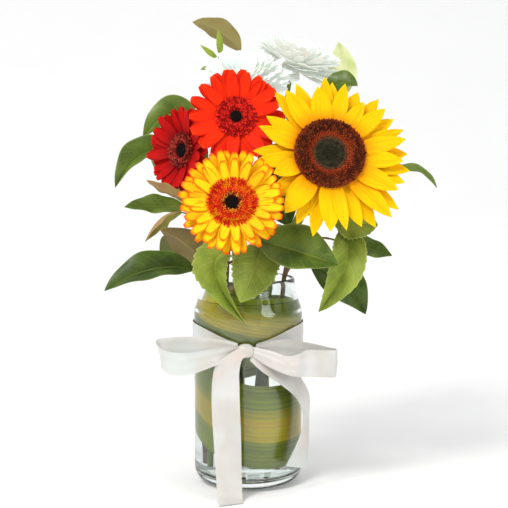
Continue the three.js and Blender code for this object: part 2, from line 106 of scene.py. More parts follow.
# %% [markdown]
# A petal, a leaf and a ribbon are all sheets with a little thickness. Solidify could thicken
# them, but a plate made whole keeps the upper face, the underside and the rim apart, which the
# finishes need, and many petals can be made in one go.

# %% Thin closed plates
def plates(middle, thickness, tint=0.5, uv=None):
    """middle[k, i, j] is plate k's middle surface. Its normal is the cross product of the two grid
    directions; the faces lie half the thickness either side of it, and a rim of quads joins them."""
    k, n, m, _ = middle.shape
    normal = unit(np.cross(np.gradient(middle, axis=1), np.gradient(middle, axis=2)))
    half = normal * np.asarray(thickness) / 2
    verts = np.concatenate([middle + half, middle - half], axis=1).reshape(k, 2 * n * m, 3)
    grid = np.arange(n * m).reshape(n, m)
    top = np.stack([grid[:-1, :-1], grid[1:, :-1], grid[1:, 1:], grid[:-1, 1:]], -1).reshape(-1, 4)
    loop = np.concatenate([grid[:-1, 0], grid[-1, :-1], grid[:0:-1, -1], grid[0, :0:-1]])
    after = np.roll(loop, -1)
    rim = np.stack([after, loop, loop + n * m, after + n * m], -1)
    quads = np.concatenate([top, top[:, ::-1] + n * m, rim])
    if uv is None:
        along, across = np.meshgrid(np.linspace(0, 1, n), np.linspace(0, 1, m), indexing="ij")
        uv = np.stack([across, along], -1)
    side = np.repeat([1.0, -1.0], n * m)
    return copies(verts, quads, NO_TRIS, np.tile(uv.reshape(-1, 2), (2, 1)), tint, side)


flat = np.stack([*np.meshgrid([0.0, 1, 2], [0.0, 1, 2], indexing="ij"), np.zeros((3, 3))], -1)
print("a plate of 3 by 3 points has", len(plates(flat[None], 0.1).quads), "faces")

# %% [markdown]
# Stems, discs and the vase are round. A stack of rings with quads between them makes any such
# skin: rings from a turned profile, as on a lathe, or rings square to a path, as in a tube.

# %% Round skins
def skins(rings, first, last, tint=0.5):
    """rings[k, i, j] is point j of ring i of skin k. Quads join each ring to the next, and a fan of
    triangles closes each end on the point given."""
    k, n, m, _ = rings.shape
    verts = np.concatenate([rings.reshape(k, n * m, 3), first[:, None], last[:, None]], axis=1)
    grid = np.arange(n * m).reshape(n, m)
    right = np.roll(grid, -1, axis=1)
    quads = np.stack([grid[:-1], right[:-1], right[1:], grid[1:]], -1).reshape(-1, 4)
    low = np.stack([np.full(m, n * m), right[0], grid[0]], -1)
    high = np.stack([np.full(m, n * m + 1), grid[-1], right[-1]], -1)
    along, around = np.meshgrid(np.linspace(0, 1, n), np.arange(m) / m, indexing="ij")
    uv = np.concatenate([np.stack([around, along], -1).reshape(-1, 2), [[0, 0], [0, 1]]])
    return copies(verts, quads, np.concatenate([low, high]), uv, tint, np.ones(n * m + 2))


def turned(profile, segments, frame_matrix=None):
    """A lathe: each (radius, height) of the profile goes round the axis. It starts and ends on it."""
    profile = np.asarray(profile, float) * MM
    angle = np.linspace(0, 2 * np.pi, segments, endpoint=False)
    ring = np.stack([np.cos(angle), np.sin(angle), np.zeros(segments)], -1)
    rings = profile[1:-1, 0, None, None] * ring + profile[1:-1, 1, None, None] * [0, 0, 1]
    ends = [np.array([[0, 0, profile[i, 1]]]) for i in (0, -1)]
    shape = skins(rings[None], *ends)
    if frame_matrix is not None:
        shape.verts = placed(shape.verts, frame_matrix)
    return shape


def placed(points, frame_matrix):
    """Points in a flower's own frame, moved out: centre + x, y and z times its three directions."""
    centre, axes = frame_matrix
    return centre + points @ axes


# %% Tubes and smooth paths
def tube(path, radius, sides=12):
    """A round skin along a path: at each point a circle square to the path, closed by low domes."""
    path = np.asarray(path, float)
    radius = np.broadcast_to(radius, len(path))
    along = unit(np.gradient(path, axis=0))
    reference = np.eye(3)[np.abs(along).max(axis=0).argmin()]
    across = unit(np.cross(along, reference))
    up = np.cross(along, across)
    angle = np.linspace(0, 2 * np.pi, sides, endpoint=False)[:, None]
    circle = np.cos(angle) * across[:, None] + np.sin(angle) * up[:, None]
    rings = path[:, None] + radius[:, None, None] * circle
    ends = path[[0]] - 0.4 * radius[0] * along[[0]], path[[-1]] + 0.4 * radius[-1] * along[[-1]]
    return skins(rings[None], *ends)


def smooth_path(points, count):
    """Catmull-Rom: between two points runs the cubic whose slope at each point is half the step
    from its neighbour before to its neighbour after."""
    p = np.asarray(points, float)
    p = np.vstack([2 * p[0] - p[1], p, 2 * p[-1] - p[-2]])
    s = np.linspace(0, len(points) - 1, count)
    i = np.minimum(s.astype(int), len(points) - 2)
    t = (s - i)[:, None]
    a, b, c, d = p[i], p[i + 1], p[i + 2], p[i + 3]
    return (2 * b + (c - a) * t + (2 * a - 5 * b + 4 * c - d) * t**2 + (3 * b - a - 3 * c + d) * t**3) / 2


print("a path through 3 points, at its middle:", smooth_path([[0, 0], [1, 1], [2, 0]], 3)[1])

# %% [markdown]
# The arrays become a mesh in one call. Its object stays at the origin, so that the finishes find
# every point where it was worked out.

# %% An object from a shape
def new_object(name, shape, material):
    """The arrays as a smooth mesh, on an object that sits at the origin."""
    mesh = bpy.data.meshes.new(name)
    mesh.from_pydata(shape.verts.tolist(), [], shape.quads.tolist() + shape.tris.tolist())
    mesh.shade_smooth()
    mesh.materials.append(material)
    made = bpy.data.objects.new(name, mesh)
    bpy.context.scene.collection.objects.link(made)
    return made


def add_piece(name, shape, material, stands_for=None, sharp=50):
    """An object with the shape's values for its finish. It rides the frame and hides the CAD part
    that it stands for: the one of its own name, unless another is given."""
    piece = new_object(name, shape, material)
    mesh = piece.data
    corners = np.empty(len(mesh.loops), np.int32)
    mesh.loops.foreach_get("vertex_index", corners)
    layer = mesh.uv_layers.new(name="UVMap")
    layer.data.foreach_set("uv", shape.uv[corners].ravel())
    for key in ("tint", "side"):
        values = mesh.attributes.new(key, "FLOAT", "POINT")
        values.data.foreach_set("value", getattr(shape, key).astype(np.float32))
    mesh.set_sharp_from_angle(angle=np.radians(sharp))
    mesh.validate()
    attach(piece, "root")
    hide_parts(stands_for or name)
    return piece


print("helpers ready")

# %% [markdown]
# ## Finishes
# A finish is a node tree, but drawn as arithmetic. Wire wraps one socket, so across * 2 - 1 adds
# the Math nodes by itself. Colours never pass through Math nodes: mix() blends them.

# %% Shader arithmetic
class Wire:
    """One output socket. Python's arithmetic on it adds Math nodes to its tree."""

    def __init__(self, nodes, socket):
        self.nodes, self.socket = nodes, socket

    def math(self, operation, *values):
        """One Math node on the values given."""
        sockets = dict(enumerate(values))
        return self.nodes.node("ShaderNodeMath", {"operation": operation}, sockets)

    def __add__(self, other):
        return self.math("ADD", self, other)

    def __sub__(self, other):
        return self.math("SUBTRACT", self, other)

    def __rsub__(self, other):
        return self.math("SUBTRACT", other, self)

    def __mul__(self, other):
        return self.math("MULTIPLY", self, other)

    def __abs__(self):
        return self.math("ABSOLUTE", self)

    __radd__, __rmul__ = __add__, __mul__

    def wave(self):
        """0 to 1 and back as the value goes through each whole number."""
        return self.math("PINGPONG", self, 0.5) * 2

    def between(self, low, high):
        """0 below low, 1 above high, and a smooth step in between."""
        sockets = {"Value": self, "From Min": low, "From Max": high}
        return self.nodes.node("ShaderNodeMapRange", {"interpolation_type": "SMOOTHSTEP"}, sockets)


# %% A node tree
class Nodes:
    """A material's node tree, with one method that adds any node."""

    def __init__(self, tree):
        self.tree = tree

    def node(self, kind, settings=(), sockets=(), output=0):
        """Any node: its settings first, then its sockets' values or links, then one output."""
        made = self.tree.nodes.new(kind)
        for key, value in dict(settings).items():
            setattr(made, key, value)
        for key, value in dict(sockets).items():
            self.join(value, made.inputs[key])
        return Wire(self, made.outputs[output])

    def join(self, value, socket):
        """Links a wire to the socket, or sets the socket to a plain value."""
        if isinstance(value, Wire):
            self.tree.links.new(value.socket, socket)
        else:
            socket.default_value = value

    def mix(self, share, first, second):
        """first where share is 0, second where it is 1, and a blend of the colours between."""
        colours = {6: first, 7: second}
        colours = {k: c if isinstance(c, Wire) else (*c, 1) for k, c in colours.items()}
        return self.node("ShaderNodeMix", {"data_type": "RGBA"}, {0: share, **colours}, 2)

    def noise(self, scale, detail=2, vector=None):
        """Soft noise about 0.5, on the object's own coordinates unless a vector is given."""
        vector = vector or self.node("ShaderNodeTexCoord", output=3)
        return self.node("ShaderNodeTexNoise", (), {"Vector": vector, "Scale": scale, "Detail": detail})

    def attribute(self, name):
        """A shape's own value at each point, such as tint or side."""
        return self.node("ShaderNodeAttribute", {"attribute_name": name}, output=2)

    def place(self):
        """(across from -1 to 1, along from 0 to 1) on the petal or leaf, from the UV map."""
        u, v = self.uv()
        return u * 2 - 1, v

    def uv(self):
        """The UV map's two numbers."""
        return self.parts(self.node("ShaderNodeUVMap"))[:2]

    def parts(self, vector):
        """A vector's x, y and z, each as a wire."""
        split = self.node("ShaderNodeSeparateXYZ", (), {0: vector}).socket.node
        return [Wire(self, out) for out in split.outputs]

    def vector(self, *values):
        """Three numbers or wires as one vector."""
        return self.node("ShaderNodeCombineXYZ", (), dict(enumerate(values)))

    def bump(self, height, strength, distance):
        """A height as a tilt of the surface. The distance is in millimetres."""
        sockets = {"Height": height, "Strength": strength, "Distance": distance * MM}
        return self.node("ShaderNodeBump", (), sockets)


def finish(name, constants, build=None):
    """A material on the Principled shader: constants go on its sockets, build adds what varies."""
    material = bpy.data.materials.new(name)
    material.use_nodes = True
    nodes = Nodes(material.node_tree)
    shader = material.node_tree.nodes["Principled BSDF"]
    varied = build(nodes) if build else {}
    for key, value in {**constants, **varied}.items():
        nodes.join((*value, 1) if isinstance(value, tuple) else value, shader.inputs[key])
    return material


print("shader arithmetic ready")

# %% [markdown]
# A leaf is not one green. The rib and side veins are paler and sunk in, the blade is mottled,
# the edge is a little yellow, and the back is paler or, on magnolia, felted brown.

# %% Leaf finish
def leaf_finish(name, dark, light, vein, back, gloss=0.34, veins=9, bumpy=1.0):
    """Rib: bright where |across| is near 0. Side veins: a wave of (along * veins - |across| * 1.7),
    so they slant forward. Both tint the mottled blade and sink into it through the bump."""

    def build(n):
        across, along = n.place()
        side = n.attribute("side").between(-0.5, 0.5)
        edge = abs(across)
        rib = 1 - edge.between(0.0, 0.075)
        slanted = (along * veins - edge * 1.7).wave()
        branch = (1 - slanted.between(0.0, 0.16)) * (1 - edge.between(0.75, 1))
        pattern = rib.math("MAXIMUM", rib, branch * 0.28 * bumpy)
        mottle = n.noise(45, 3).between(0.3, 0.7)
        fine = n.noise(420, 2).between(0.35, 0.7)
        blade = n.mix(mottle * 0.75, dark, light)
        blade = n.mix(fine * 0.18, blade, light)
        blade = n.mix(pattern * 0.6, blade, vein)
        blade = n.mix(edge.between(0.9, 1) * 0.5, blade, vein)
        under = n.mix(pattern * 0.5, n.mix(mottle * 0.4, back, light), vein)
        swell = (1 - pattern) + mottle * 0.3
        return {
            "Base Color": n.mix(side, under, blade),
            "Roughness": gloss + (1 - side) * 0.25 + fine * 0.1,
            "Normal": n.bump(swell, 0.45 * bumpy, 0.5),
        }

    return finish(name, {"Specular IOR Level": 0.28}, build)


# Each leaf's slot, its finish's name and its dark, light, vein and back colours. Then come gloss,
# number of veins and bumpiness, where they differ from a glossy evergreen leaf's.
LEAF_TABLE = {
    "deep": (
        "leaf", "glossy_deep_leaf", (0.026, 0.055, 0.008), (0.092, 0.152, 0.021),
        (0.224, 0.29, 0.059), (0.158, 0.158, 0.046),
    ),
    "green": (
        "leaf", "glossy_green_leaf", (0.053, 0.099, 0.011), (0.165, 0.238, 0.032),
        (0.33, 0.396, 0.079), (0.224, 0.238, 0.073),
    ),
    "pale": (
        "pale_leaf", "pale_serrated_leaf", (0.158, 0.224, 0.024), (0.33, 0.409, 0.059),
        (0.502, 0.554, 0.132), (0.409, 0.449, 0.158), 0.5, 8, 1.6,
    ),
    "olive": (
        "brown_leaf", "olive_leaf", (0.172, 0.185, 0.033), (0.33, 0.317, 0.079),
        (0.502, 0.449, 0.158), (0.343, 0.264, 0.099), 0.42,
    ),
    "brown": (
        "brown_leaf", "brown_backed_leaf", (0.132, 0.145, 0.033), (0.224, 0.224, 0.059),
        (0.356, 0.317, 0.119), (0.224, 0.152, 0.073), 0.45,
    ),
    "blush": (
        "brown_leaf", "blushed_leaf", (0.224, 0.172, 0.046), (0.396, 0.383, 0.079),
        (0.607, 0.528, 0.185), (0.396, 0.211, 0.106), 0.42,
    ),
    "bright": (
        "pale_leaf", "young_bright_leaf", (0.185, 0.29, 0.024), (0.396, 0.502, 0.053),
        (0.581, 0.66, 0.145), (0.436, 0.502, 0.132), 0.45,
    ),
    "silver": (
        "pale_leaf", "silvery_leaf", (0.502, 0.594, 0.211), (0.8, 0.8, 0.475),
        (0.8, 0.8, 0.66), (0.66, 0.726, 0.396), 0.5, 8, 1.2,
    ),
}
LEAF_SLOTS = {key: row[0] for key, row in LEAF_TABLE.items()}
LEAF_FINISHES = {key: leaf_finish(*row[1:]) for key, row in LEAF_TABLE.items()}
# A green leaf whose tip is bright shares the green finish but belongs to the pale leaves' slot.
LEAF_SLOTS["tipped"] = "pale_leaf"
LEAF_FINISHES["tipped"] = LEAF_FINISHES["green"]
print(len(LEAF_FINISHES), "leaf finishes")

# %% [markdown]
# A petal changes along its length, from a dark or golden root to its tip, and fine grooves run
# along it. The grooves are noise squeezed hard across the petal, used as bump and, in the root's colour, as
# painted shade.

# %% Petal finish
def petal_finish(
    name, root, body, tip, back, edge=None, rough=0.5, groove=3.5, tip_from=0.8, root_to=0.35, glow=0,
    crease_shade=0.35,
):
    """Root colour up to root_to, body colour, tip colour from tip_from on, streaks of the root's
    colour along the petal as painted shade in its creases, and the edge colour where |across| is near 1."""

    def build(n):
        across, along = n.place()
        tint = n.attribute("tint")
        side = n.attribute("side").between(-0.5, 0.5)
        streak = n.noise(1, 3, n.vector(across * 9, along * 1.2, tint * 37))
        shade = n.mix(along.between(0, root_to), root, body)
        shade = n.mix(along.between(tip_from, 1), shade, tip)
        if edge:
            ragged = abs(across) + streak * 0.5 - 0.25
            shade = n.mix(ragged.between(0.62, 0.95) * along.between(0.3, 0.8), shade, edge)
        # Painted shade: streaks of the root's colour darken the petal along its creases.
        shade = n.mix(streak.between(0.45, 0.75) * crease_shade, shade, root)
        shade = n.mix((tint - 0.5).between(0, 0.5) * 0.25, shade, tip)
        grooves = (across * groove).wave() * 0.6 + streak * 0.8
        return {
            "Base Color": n.mix(side, n.mix(0.55, shade, back), shade),
            "Roughness": rough + streak * 0.12,
            "Normal": n.bump(grooves, 0.5, 0.35),
        }

    constants = {"Specular IOR Level": 0.08, "Subsurface Weight": 0.15, "Subsurface Scale": 0.003}
    if glow:
        constants.update({"Emission Color": (0.93, 1.0, 0.97), "Emission Strength": glow})
    return finish(name, constants, build)


PETALS = {
    # The sunflower's orange root, drawn out to 0.45 of its length, is partly painted shade near the disc,
    # and its stronger streaks are painted shade in the creases.
    "sunflower": petal_finish(
        "sunflower_petal", (0.84, 0.26, 0.0), (0.95, 0.53, 0.0), (0.98, 0.66, 0.0),
        (0.78, 0.36, 0.01), groove=2.2, root_to=0.45, crease_shade=0.6,
    ),
    "orange": petal_finish(
        "orange_red_petal", (0.50, 0.006, 0.002), (0.90, 0.024, 0.002), (0.95, 0.045, 0.004),
        (0.65, 0.05, 0.01), edge=(0.58, 0.006, 0.001),
    ),
    "red": petal_finish(
        "dark_red_petal", (0.14, 0.001, 0.003), (0.52, 0.004, 0.003), (0.68, 0.006, 0.004),
        (0.36, 0.008, 0.008), edge=(0.24, 0.001, 0.001), root_to=0.7,
    ),
    "yellow": petal_finish(
        "yellow_petal", (0.96, 0.36, 0.0), (1.0, 0.62, 0.006), (0.88, 0.07, 0.002),
        (0.90, 0.42, 0.02), edge=(0.88, 0.085, 0.001), tip_from=0.82,
    ),
    "white": petal_finish(
        "white_petal", (0.80, 0.82, 0.70), (0.80, 0.87, 0.84), (0.84, 0.90, 0.88),
        (0.90, 0.78, 0.68), rough=0.6, glow=0.10,
    ),
}
print(len(PETALS), "petal finishes")

# %% [markdown]
# Florets, seeds, stems and bark are all speckled: two colours mixed by a random number for each
# floret and by fine noise. One function makes them all, so they stay one family.

# %% Floret, stem and bark finishes
def speckled(name, low, high, rough=0.8, scale=260, bumpy=0.4, tip=None):
    """Two colours by the floret's own tint, with fine noise, and a third at the tips of some of
    the florets: for discs, stems and bark."""

    def build(n):
        tint, grain = n.attribute("tint"), n.noise(scale, 4)
        share = (tint * 0.7 + grain * 0.6 - 0.15).between(0.25, 0.85)
        colour = n.mix(share, low, high)
        if tip:
            _, along = n.place()
            colour = n.mix(along.between(0.5, 0.95) * tint.between(0.3, 0.7), colour, tip)
        return {
            "Base Color": colour,
            "Roughness": rough - grain * 0.15,
            "Normal": n.bump(grain, bumpy, 0.5),
        }

    return finish(name, {"Specular IOR Level": 0.25}, build)


GREEN_STEM = speckled("green_stem", (0.13, 0.20, 0.025), (0.28, 0.38, 0.07), 0.55, 90)
BARK = speckled("brown_bark", (0.11, 0.060, 0.032), (0.30, 0.19, 0.11), 0.8, 160, 0.8)
BLACK_DISC = speckled("black_disc", (0.003, 0.002, 0.002), (0.020, 0.005, 0.006), 0.8)
SEED_DISC = speckled("seed_disc", (0.012, 0.010, 0.004), (0.075, 0.065, 0.028), 0.85)
RUST_FLORETS = speckled(
    "rust_florets", (0.060, 0.006, 0.003), (0.46, 0.10, 0.010), 0.8, tip=(0.40, 0.045, 0.010)
)
CREAM_DISC = speckled("cream_disc", (0.45, 0.42, 0.12), (0.70, 0.66, 0.30), 0.8)
RED_FLORETS = speckled(
    "red_florets", (0.34, 0.001, 0.001), (0.86, 0.008, 0.004), 0.8, tip=(0.92, 0.035, 0.018)
)
MAROON_FLORETS = speckled(
    "maroon_florets", (0.13, 0.002, 0.002), (0.40, 0.008, 0.005), 0.8, tip=(0.46, 0.06, 0.035)
)
FLAME_FLORETS = speckled(
    "flame_florets", (0.60, 0.012, 0.001), (0.90, 0.065, 0.002), 0.6, tip=(0.95, 0.16, 0.004)
)
EYE_FRINGE = speckled("eye_fringe", (0.10, 0.004, 0.002), (0.50, 0.03, 0.004), 0.7, tip=(0.95, 0.50, 0.05))
print("stem, bark and floret finishes ready")

# %% [markdown]
# ## Where the flowers look
# Each head has a centre and a direction. A frame for a head is three directions square to each
# other, so a flower can be modelled flat on its back, facing up, and then be carried into place.

# %% Heads and stems
HEADS = {
    "sunflower": ((76, -78, 331), (0.12, -0.92, 0.34)),
    "orange_gerbera": ((-11, -60, 366), (0.02, -0.98, 0.2)),
    "red_gerbera": ((-62, -15, 334), (-0.72, -0.68, 0.12)),
    "yellow_gerbera": ((-14, -112, 288), (0.02, -0.97, 0.24)),
    "white_right": ((47, 56, 420), (0.24, -0.22, 0.95)),
    "white_left": ((-3, -14, 401), (-0.06, -0.5, 0.86)),
}
FOOT = 16  # the stems stand on the glass floor
# A stem's radius, two distances behind the head, and the points that it goes through from its foot.
STEMS = {
    "sunflower": (
        5.0, (23, 34), [(4, -4, FOOT), (12, -6, 120), (20, -8, 200), (38, -4, 240), (62, -14, 290)],
    ),
    "orange_gerbera": (
        2.6, (11, 24), [(-12, -6, FOOT), (-10, -5, 120), (-8, -4, 200), (-9, -8, 270), (-10, -18, 335)],
    ),
    "red_gerbera": (
        2.6, (11, 24), [(-30, -4, FOOT), (-28, -6, 120), (-26, -8, 200), (-28, -4, 250), (-36, 2, 305)],
    ),
    "yellow_gerbera": (
        2.6, (11, 24), [(-8, -26, FOOT), (-10, -26, 120), (-12, -24, 200), (-13, -44, 242), (-14, -68, 270)],
    ),
    "white_right": (
        2.2, (8, 16), [(14, 12, FOOT), (12, 13, 120), (10, 14, 200), (20, 30, 290), (36, 44, 365)],
    ),
    "white_left": (
        2.2, (8, 16), [(-4, 14, FOOT), (-5, 12, 120), (-6, 10, 200), (-4, 16, 290), (-2, 8, 350)],
    ),
}


def head_frame(name):
    """Centre, and three rows: level to the right, up the face, and straight out of the face."""
    centre, facing = HEADS[name]
    out = unit(facing)
    right = unit(np.cross([0, 0, 1], out))
    return np.array(centre) * MM, np.array([right, np.cross(out, right), out])


def stem_route(name):
    """The stem's points, ending straight behind the head at the distances given."""
    _, under, low = STEMS[name]
    centre, axes = head_frame(name)
    behind = [centre / MM - distance * axes[2] for distance in reversed(under)]
    return np.array([*low, *behind]) * MM


print(len(HEADS), "heads, the highest at", max(centre[2] for centre, _ in HEADS.values()), "mm")

# %% [markdown]
# ## Petals
# One function makes every petal in the bouquet. A petal's rib is an arc that starts at a slope
# and bends by the curl, so reach and height come from the sine and cosine of the slope. The
# width follows an outline, the sides cup upwards and pleats run along it. Each petal differs a
# little, from a seeded generator, so that a ring of them doesn't look stamped.

# %% Petal surfaces
def petals(
    frame_matrix, count, root, length, width, rise, curl, outline, lift=0.5, phase=0.0, cup=0.12, pleat=0.03,
    wild=1.0, seed=1, grid=(15, 7), thickness=0.45, turns=None, lengths=1, widths=1,
):
    """slope = rise + curl * t. Reach is root + length * (sin slope - sin rise) / curl, and height the
    same with cosines. Across it, y = v * half width, raised by cup * v squared plus a cosine pleat,
    then twisted about the rib and turned to the petal's own direction."""
    rng = np.random.default_rng(seed)

    def vary(size, amount):
        """A size that differs from petal to petal by up to the share given."""
        return size * (1 + amount * wild * rng.uniform(-1, 1, (count, 1, 1)))

    n, m = grid
    t = 1 - (1 - np.linspace(0, 1, n)[None, :, None]) ** 1.3
    v = np.linspace(-1, 1, m)[None, None, :]
    if turns is None:
        shift = 0.12 * wild * rng.uniform(-1, 1, (count, 1, 1))
        turns = 2 * np.pi * (np.arange(count)[:, None, None] + phase + shift) / count
    length, width = vary(length * lengths * MM, 0.05), vary(width * widths * MM, 0.08)
    start = np.radians(rise + 5 * wild * rng.uniform(-1, 1, (count, 1, 1)))
    bend = np.radians(curl + 7 * wild * rng.uniform(-1, 1, (count, 1, 1))) + 1e-4
    twist = np.radians(14 * wild * rng.uniform(-1, 1, (count, 1, 1))) * t
    slope = start + bend * t
    reach = root * MM + length * (np.sin(slope) - np.sin(start)) / bend
    height = lift * MM + length * (np.cos(start) - np.cos(slope)) / bend
    samples = 41
    widest = smooth_path([[w] for w in outline], samples)[:, 0]
    shape = np.interp(t, np.linspace(0, 1, samples), widest)
    half = width / 2 * shape
    raised = half * (cup * v**2 + pleat * np.cos(3 * np.pi * v))
    y = v * half * np.cos(twist) - raised * np.sin(twist)
    off = v * half * np.sin(twist) + raised * np.cos(twist)
    x, z = reach - off * np.sin(slope), height + off * np.cos(slope)
    turned_x = x * np.cos(turns) - y * np.sin(turns)
    turned_y = x * np.sin(turns) + y * np.cos(turns)
    middle = placed(np.stack(np.broadcast_arrays(turned_x, turned_y, z), -1), frame_matrix)
    return plates(middle, thickness * MM, rng.uniform(0, 1, count))


print("petals ready")

# %% [markdown]
# A bud is only twelve points and a tip, because a disc has hundreds of them.

# %% Rings of petals and spirals of florets
def petal_rows(frame_matrix, rows, outline, seed, step=0.5, size=1, **same):
    """Rings of petals from rows of (count, root, length, width, rise, curl, lift). Each ring has the
    next seed, and is turned on by a share of the step between petals."""
    return [
        petals(
            frame_matrix, count, root, length * size, width * size, rise, curl, outline, lift,
            step * i, seed=seed + i, **same,
        )
        for i, (count, root, length, width, rise, curl, lift) in enumerate(rows)
    ]


GOLDEN_ANGLE = np.radians(137.50776)  # a full turn less a full turn over the golden ratio


def spiral_florets(frame_matrix, count, inner, outer, dome, size, height, lean=0.0, seed=1, tint=None):
    """Florets in a sunflower's own order: floret i stands at the golden angle times i, and its
    radius grows with the root of i, which fills the disc evenly. Each is a six-sided bud."""
    rng = np.random.default_rng(seed)
    i = np.arange(count)
    radius = np.sqrt(inner**2 + (outer**2 - inner**2) * (i + 0.5) / count)
    angle = i * GOLDEN_ANGLE
    outward = np.stack([np.cos(angle), np.sin(angle), np.zeros(count)], -1)
    base = outward * radius[:, None] + dome(radius)[:, None] * [0, 0, 1]
    axis = unit([0, 0, 1] + outward * lean)
    sideways = unit(np.cross(axis, outward))
    front = np.cross(sideways, axis)
    around = np.linspace(0, 2 * np.pi, 6, endpoint=False)[:, None]
    ring = np.cos(around) * front[:, None] + np.sin(around) * sideways[:, None]
    size = size * rng.uniform(0.85, 1.15, count)[:, None, None]
    tall = height * rng.uniform(0.7, 1.3, count)[:, None]
    foot = base[:, None] + ring * size
    waist = base[:, None] + ring * size * 1.15 + (axis * tall * 0.6)[:, None]
    rings = np.stack([foot, waist], 1) * MM
    ends = (base - axis * 0.3) * MM, (base + axis * tall) * MM
    tints = rng.uniform(0, 1, count) if tint is None else tint(radius, rng.uniform(0, 1, count))
    return skins(placed(rings, frame_matrix), *(placed(e, frame_matrix) for e in ends), tints)


print("golden angle", round(float(np.degrees(GOLDEN_ANGLE)), 3), "degrees")

# %% [markdown]
# ## Where the leaves grow
# A leaf is an arc through three points, so its place and its droop are one row of a table. It
# comes before the stems, because each stem grows the stalks of its own leaves.

# %% Leaves' places
# A leaf's base, middle and tip, its width, the way that its upper face looks, its fold in degrees,
# its finish, how much it ripples and how deep its teeth are.
LEAVES = {
    "leaf_lower_left_long": (
        (-36, -17, 212), (-88, -32, 219), (-139, -45, 199), 42, (0, -0.62, 0.78), 20, "deep", 1.5, 0,
    ),
    "leaf_brown_underside": (
        (-40, -2, 212), (-57, -6, 236), (-88, -12, 257), 40, (-0.45, 0.8, 0.4), 16, "brown", 1.0, 0,
    ),
    "leaf_left_pink": (
        (-56, -30, 272), (-80, -44, 272), (-98, -58, 248), 22, (0.3, -0.55, -0.78), 24, "blush", 1.0, 0,
    ),
    "leaf_left_bright_tip": (
        (-50, -6, 276), (-87, -14, 279), (-121, -24, 279), 25, (-0.1, -0.75, 0.66), 18, "tipped", 1.5, 0,
    ),
    "leaf_left_brown_small": (
        (-54, -28, 285), (-76, -38, 294), (-97, -48, 306), 18, (0, 0.5, 0.87), 12, "blush", 1.0, 0,
    ),
    "leaf_left_folded": (
        (-66, 32, 326), (-104, 25, 331), (-133, 4, 297), 38, (-0.3, -0.8, 0.5), 30, "green", 1.5, 0,
    ),
    "leaf_left_upper": (
        (-44, 38, 342), (-74, 40, 371), (-108, 38, 346), 38, (-0.3, -0.85, 0.4), 20, "green", 1.5, 0,
    ),
    "leaf_top_left": (
        (-2, 36, 424), (-25, 26, 451), (-55, 10, 461), 27, (0.35, 0.8, 0.45), 12, "olive", 1.2, 0,
    ),
    "leaf_top_right_pale": (
        (95, 76, 378), (101, 92, 412), (96, 94, 448), 34, (-0.3, -0.95, 0), 14, "silver", 1.2, 0,
    ),
    "leaf_top_right_dark": (
        (76, 18, 382), (91, 10, 400), (109, 4, 398), 28, (0.1, -0.8, 0.6), 14, "green", 1.0, 0,
    ),
    "leaf_right_far": (
        (116, 14, 296), (160, 6, 316), (188, -4, 297), 15, (0.2, -0.5, 0.85), 12, "green", 0.8, 0,
    ),
    "leaf_right_small_tip": (
        (78, -6, 247), (114, -10, 238), (143, -14, 230), 25, (0, -0.75, 0.65), 15, "green", 1.5, 0,
    ),
    "leaf_right_hanging": (
        (86, -36, 270), (94, -70, 232), (68, -62, 181), 42, (0.1, -1, 0.2), 24, "pale", 2.5, 0.5,
    ),
    "leaf_under_sunflower": (
        (76, -50, 281), (100, -56, 268), (124, -60, 264), 42, (0, -0.9, 0.4), 12, "pale", 1.5, 0.8,
    ),
    "leaf_right_dark": (
        (50, -20, 224), (88, -30, 208), (115, -38, 175), 44, (0.1, -0.9, 0.4), 22, "deep", 2.0, 0,
    ),
    "leaf_front_oval": (
        (0, -58, 251), (42, -80, 242), (84, -94, 229), 52, (0, -0.85, 0.5), 22, "green", 1.5, 0,
    ),
    "leaf_front_serrated_right": (
        (14, -50, 247), (6, -77, 222), (-7, -84, 193), 46, (0, -0.95, 0.3), 16, "pale", 1.5, 1,
    ),
    "leaf_front_serrated_left": (
        (-21, -42, 238), (-30, -60, 214), (-1, -62, 168), 46, (-0.3, -0.9, 0.3), 18, "pale", 2.0, 1,
    ),
    "leaf_back_left": (
        (-30, 30, 262), (-68, 62, 300), (-104, 70, 330), 46, (-0.3, 0.8, 0.5), 15, "green", 1.5, 0,
    ),
    "leaf_back_right": (
        (58, 30, 290), (92, 62, 312), (130, 66, 330), 46, (0.3, 0.85, 0.5), 15, "deep", 1.5, 0,
    ),
    "leaf_back_middle": (
        (-6, 54, 320), (8, 84, 356), (14, 84, 404), 48, (0, 0.95, 0.3), 15, "green", 1.5, 0,
    ),
    "leaf_back_low": (
        (2, 48, 232), (20, 88, 240), (30, 118, 206), 46, (0, 0.7, 0.7), 15, "green", 1.5, 0,
    ),
    "leaf_inner": (
        (45, 4, 248), (30, 10, 288), (12, 9, 338), 38, (0.1, -1, 0.15), 10, "deep", 1.0, 0,
    ),
    "leaf_back_low_left": (
        (-34, 26, 232), (-66, 66, 236), (-92, 96, 208), 46, (-0.3, 0.6, 0.75), 15, "deep", 1.5, 0,
    ),
}
SUNFLOWER_LEAVES = [
    "leaf_front_serrated_left", "leaf_front_serrated_right", "leaf_front_oval", "leaf_right_hanging",
    "leaf_under_sunflower", "leaf_inner",
]
print(len(LEAVES), "leaves,", len(SUNFLOWER_LEAVES), "of them on the sunflower")

# %% [markdown]
# ## Stems and calyx
# A stem is a tube along the CAD model's own route. Under the head the stalk swells into a cup,
# wrapped in small green bracts, which are petals of another outline.

# %% Leaf stalks
def rib_points(leaf, t):
    """The arc through a leaf's base, middle and tip, as a quadratic Bezier, and its direction."""
    base, middle, tip = (np.array(p, float) * MM for p in leaf[:3])
    pull = 2 * middle - (base + tip) / 2
    point = (1 - t) ** 2 * base + 2 * (1 - t) * t * pull + t**2 * tip
    return point, unit((1 - t) * (pull - base) + t * (tip - pull))


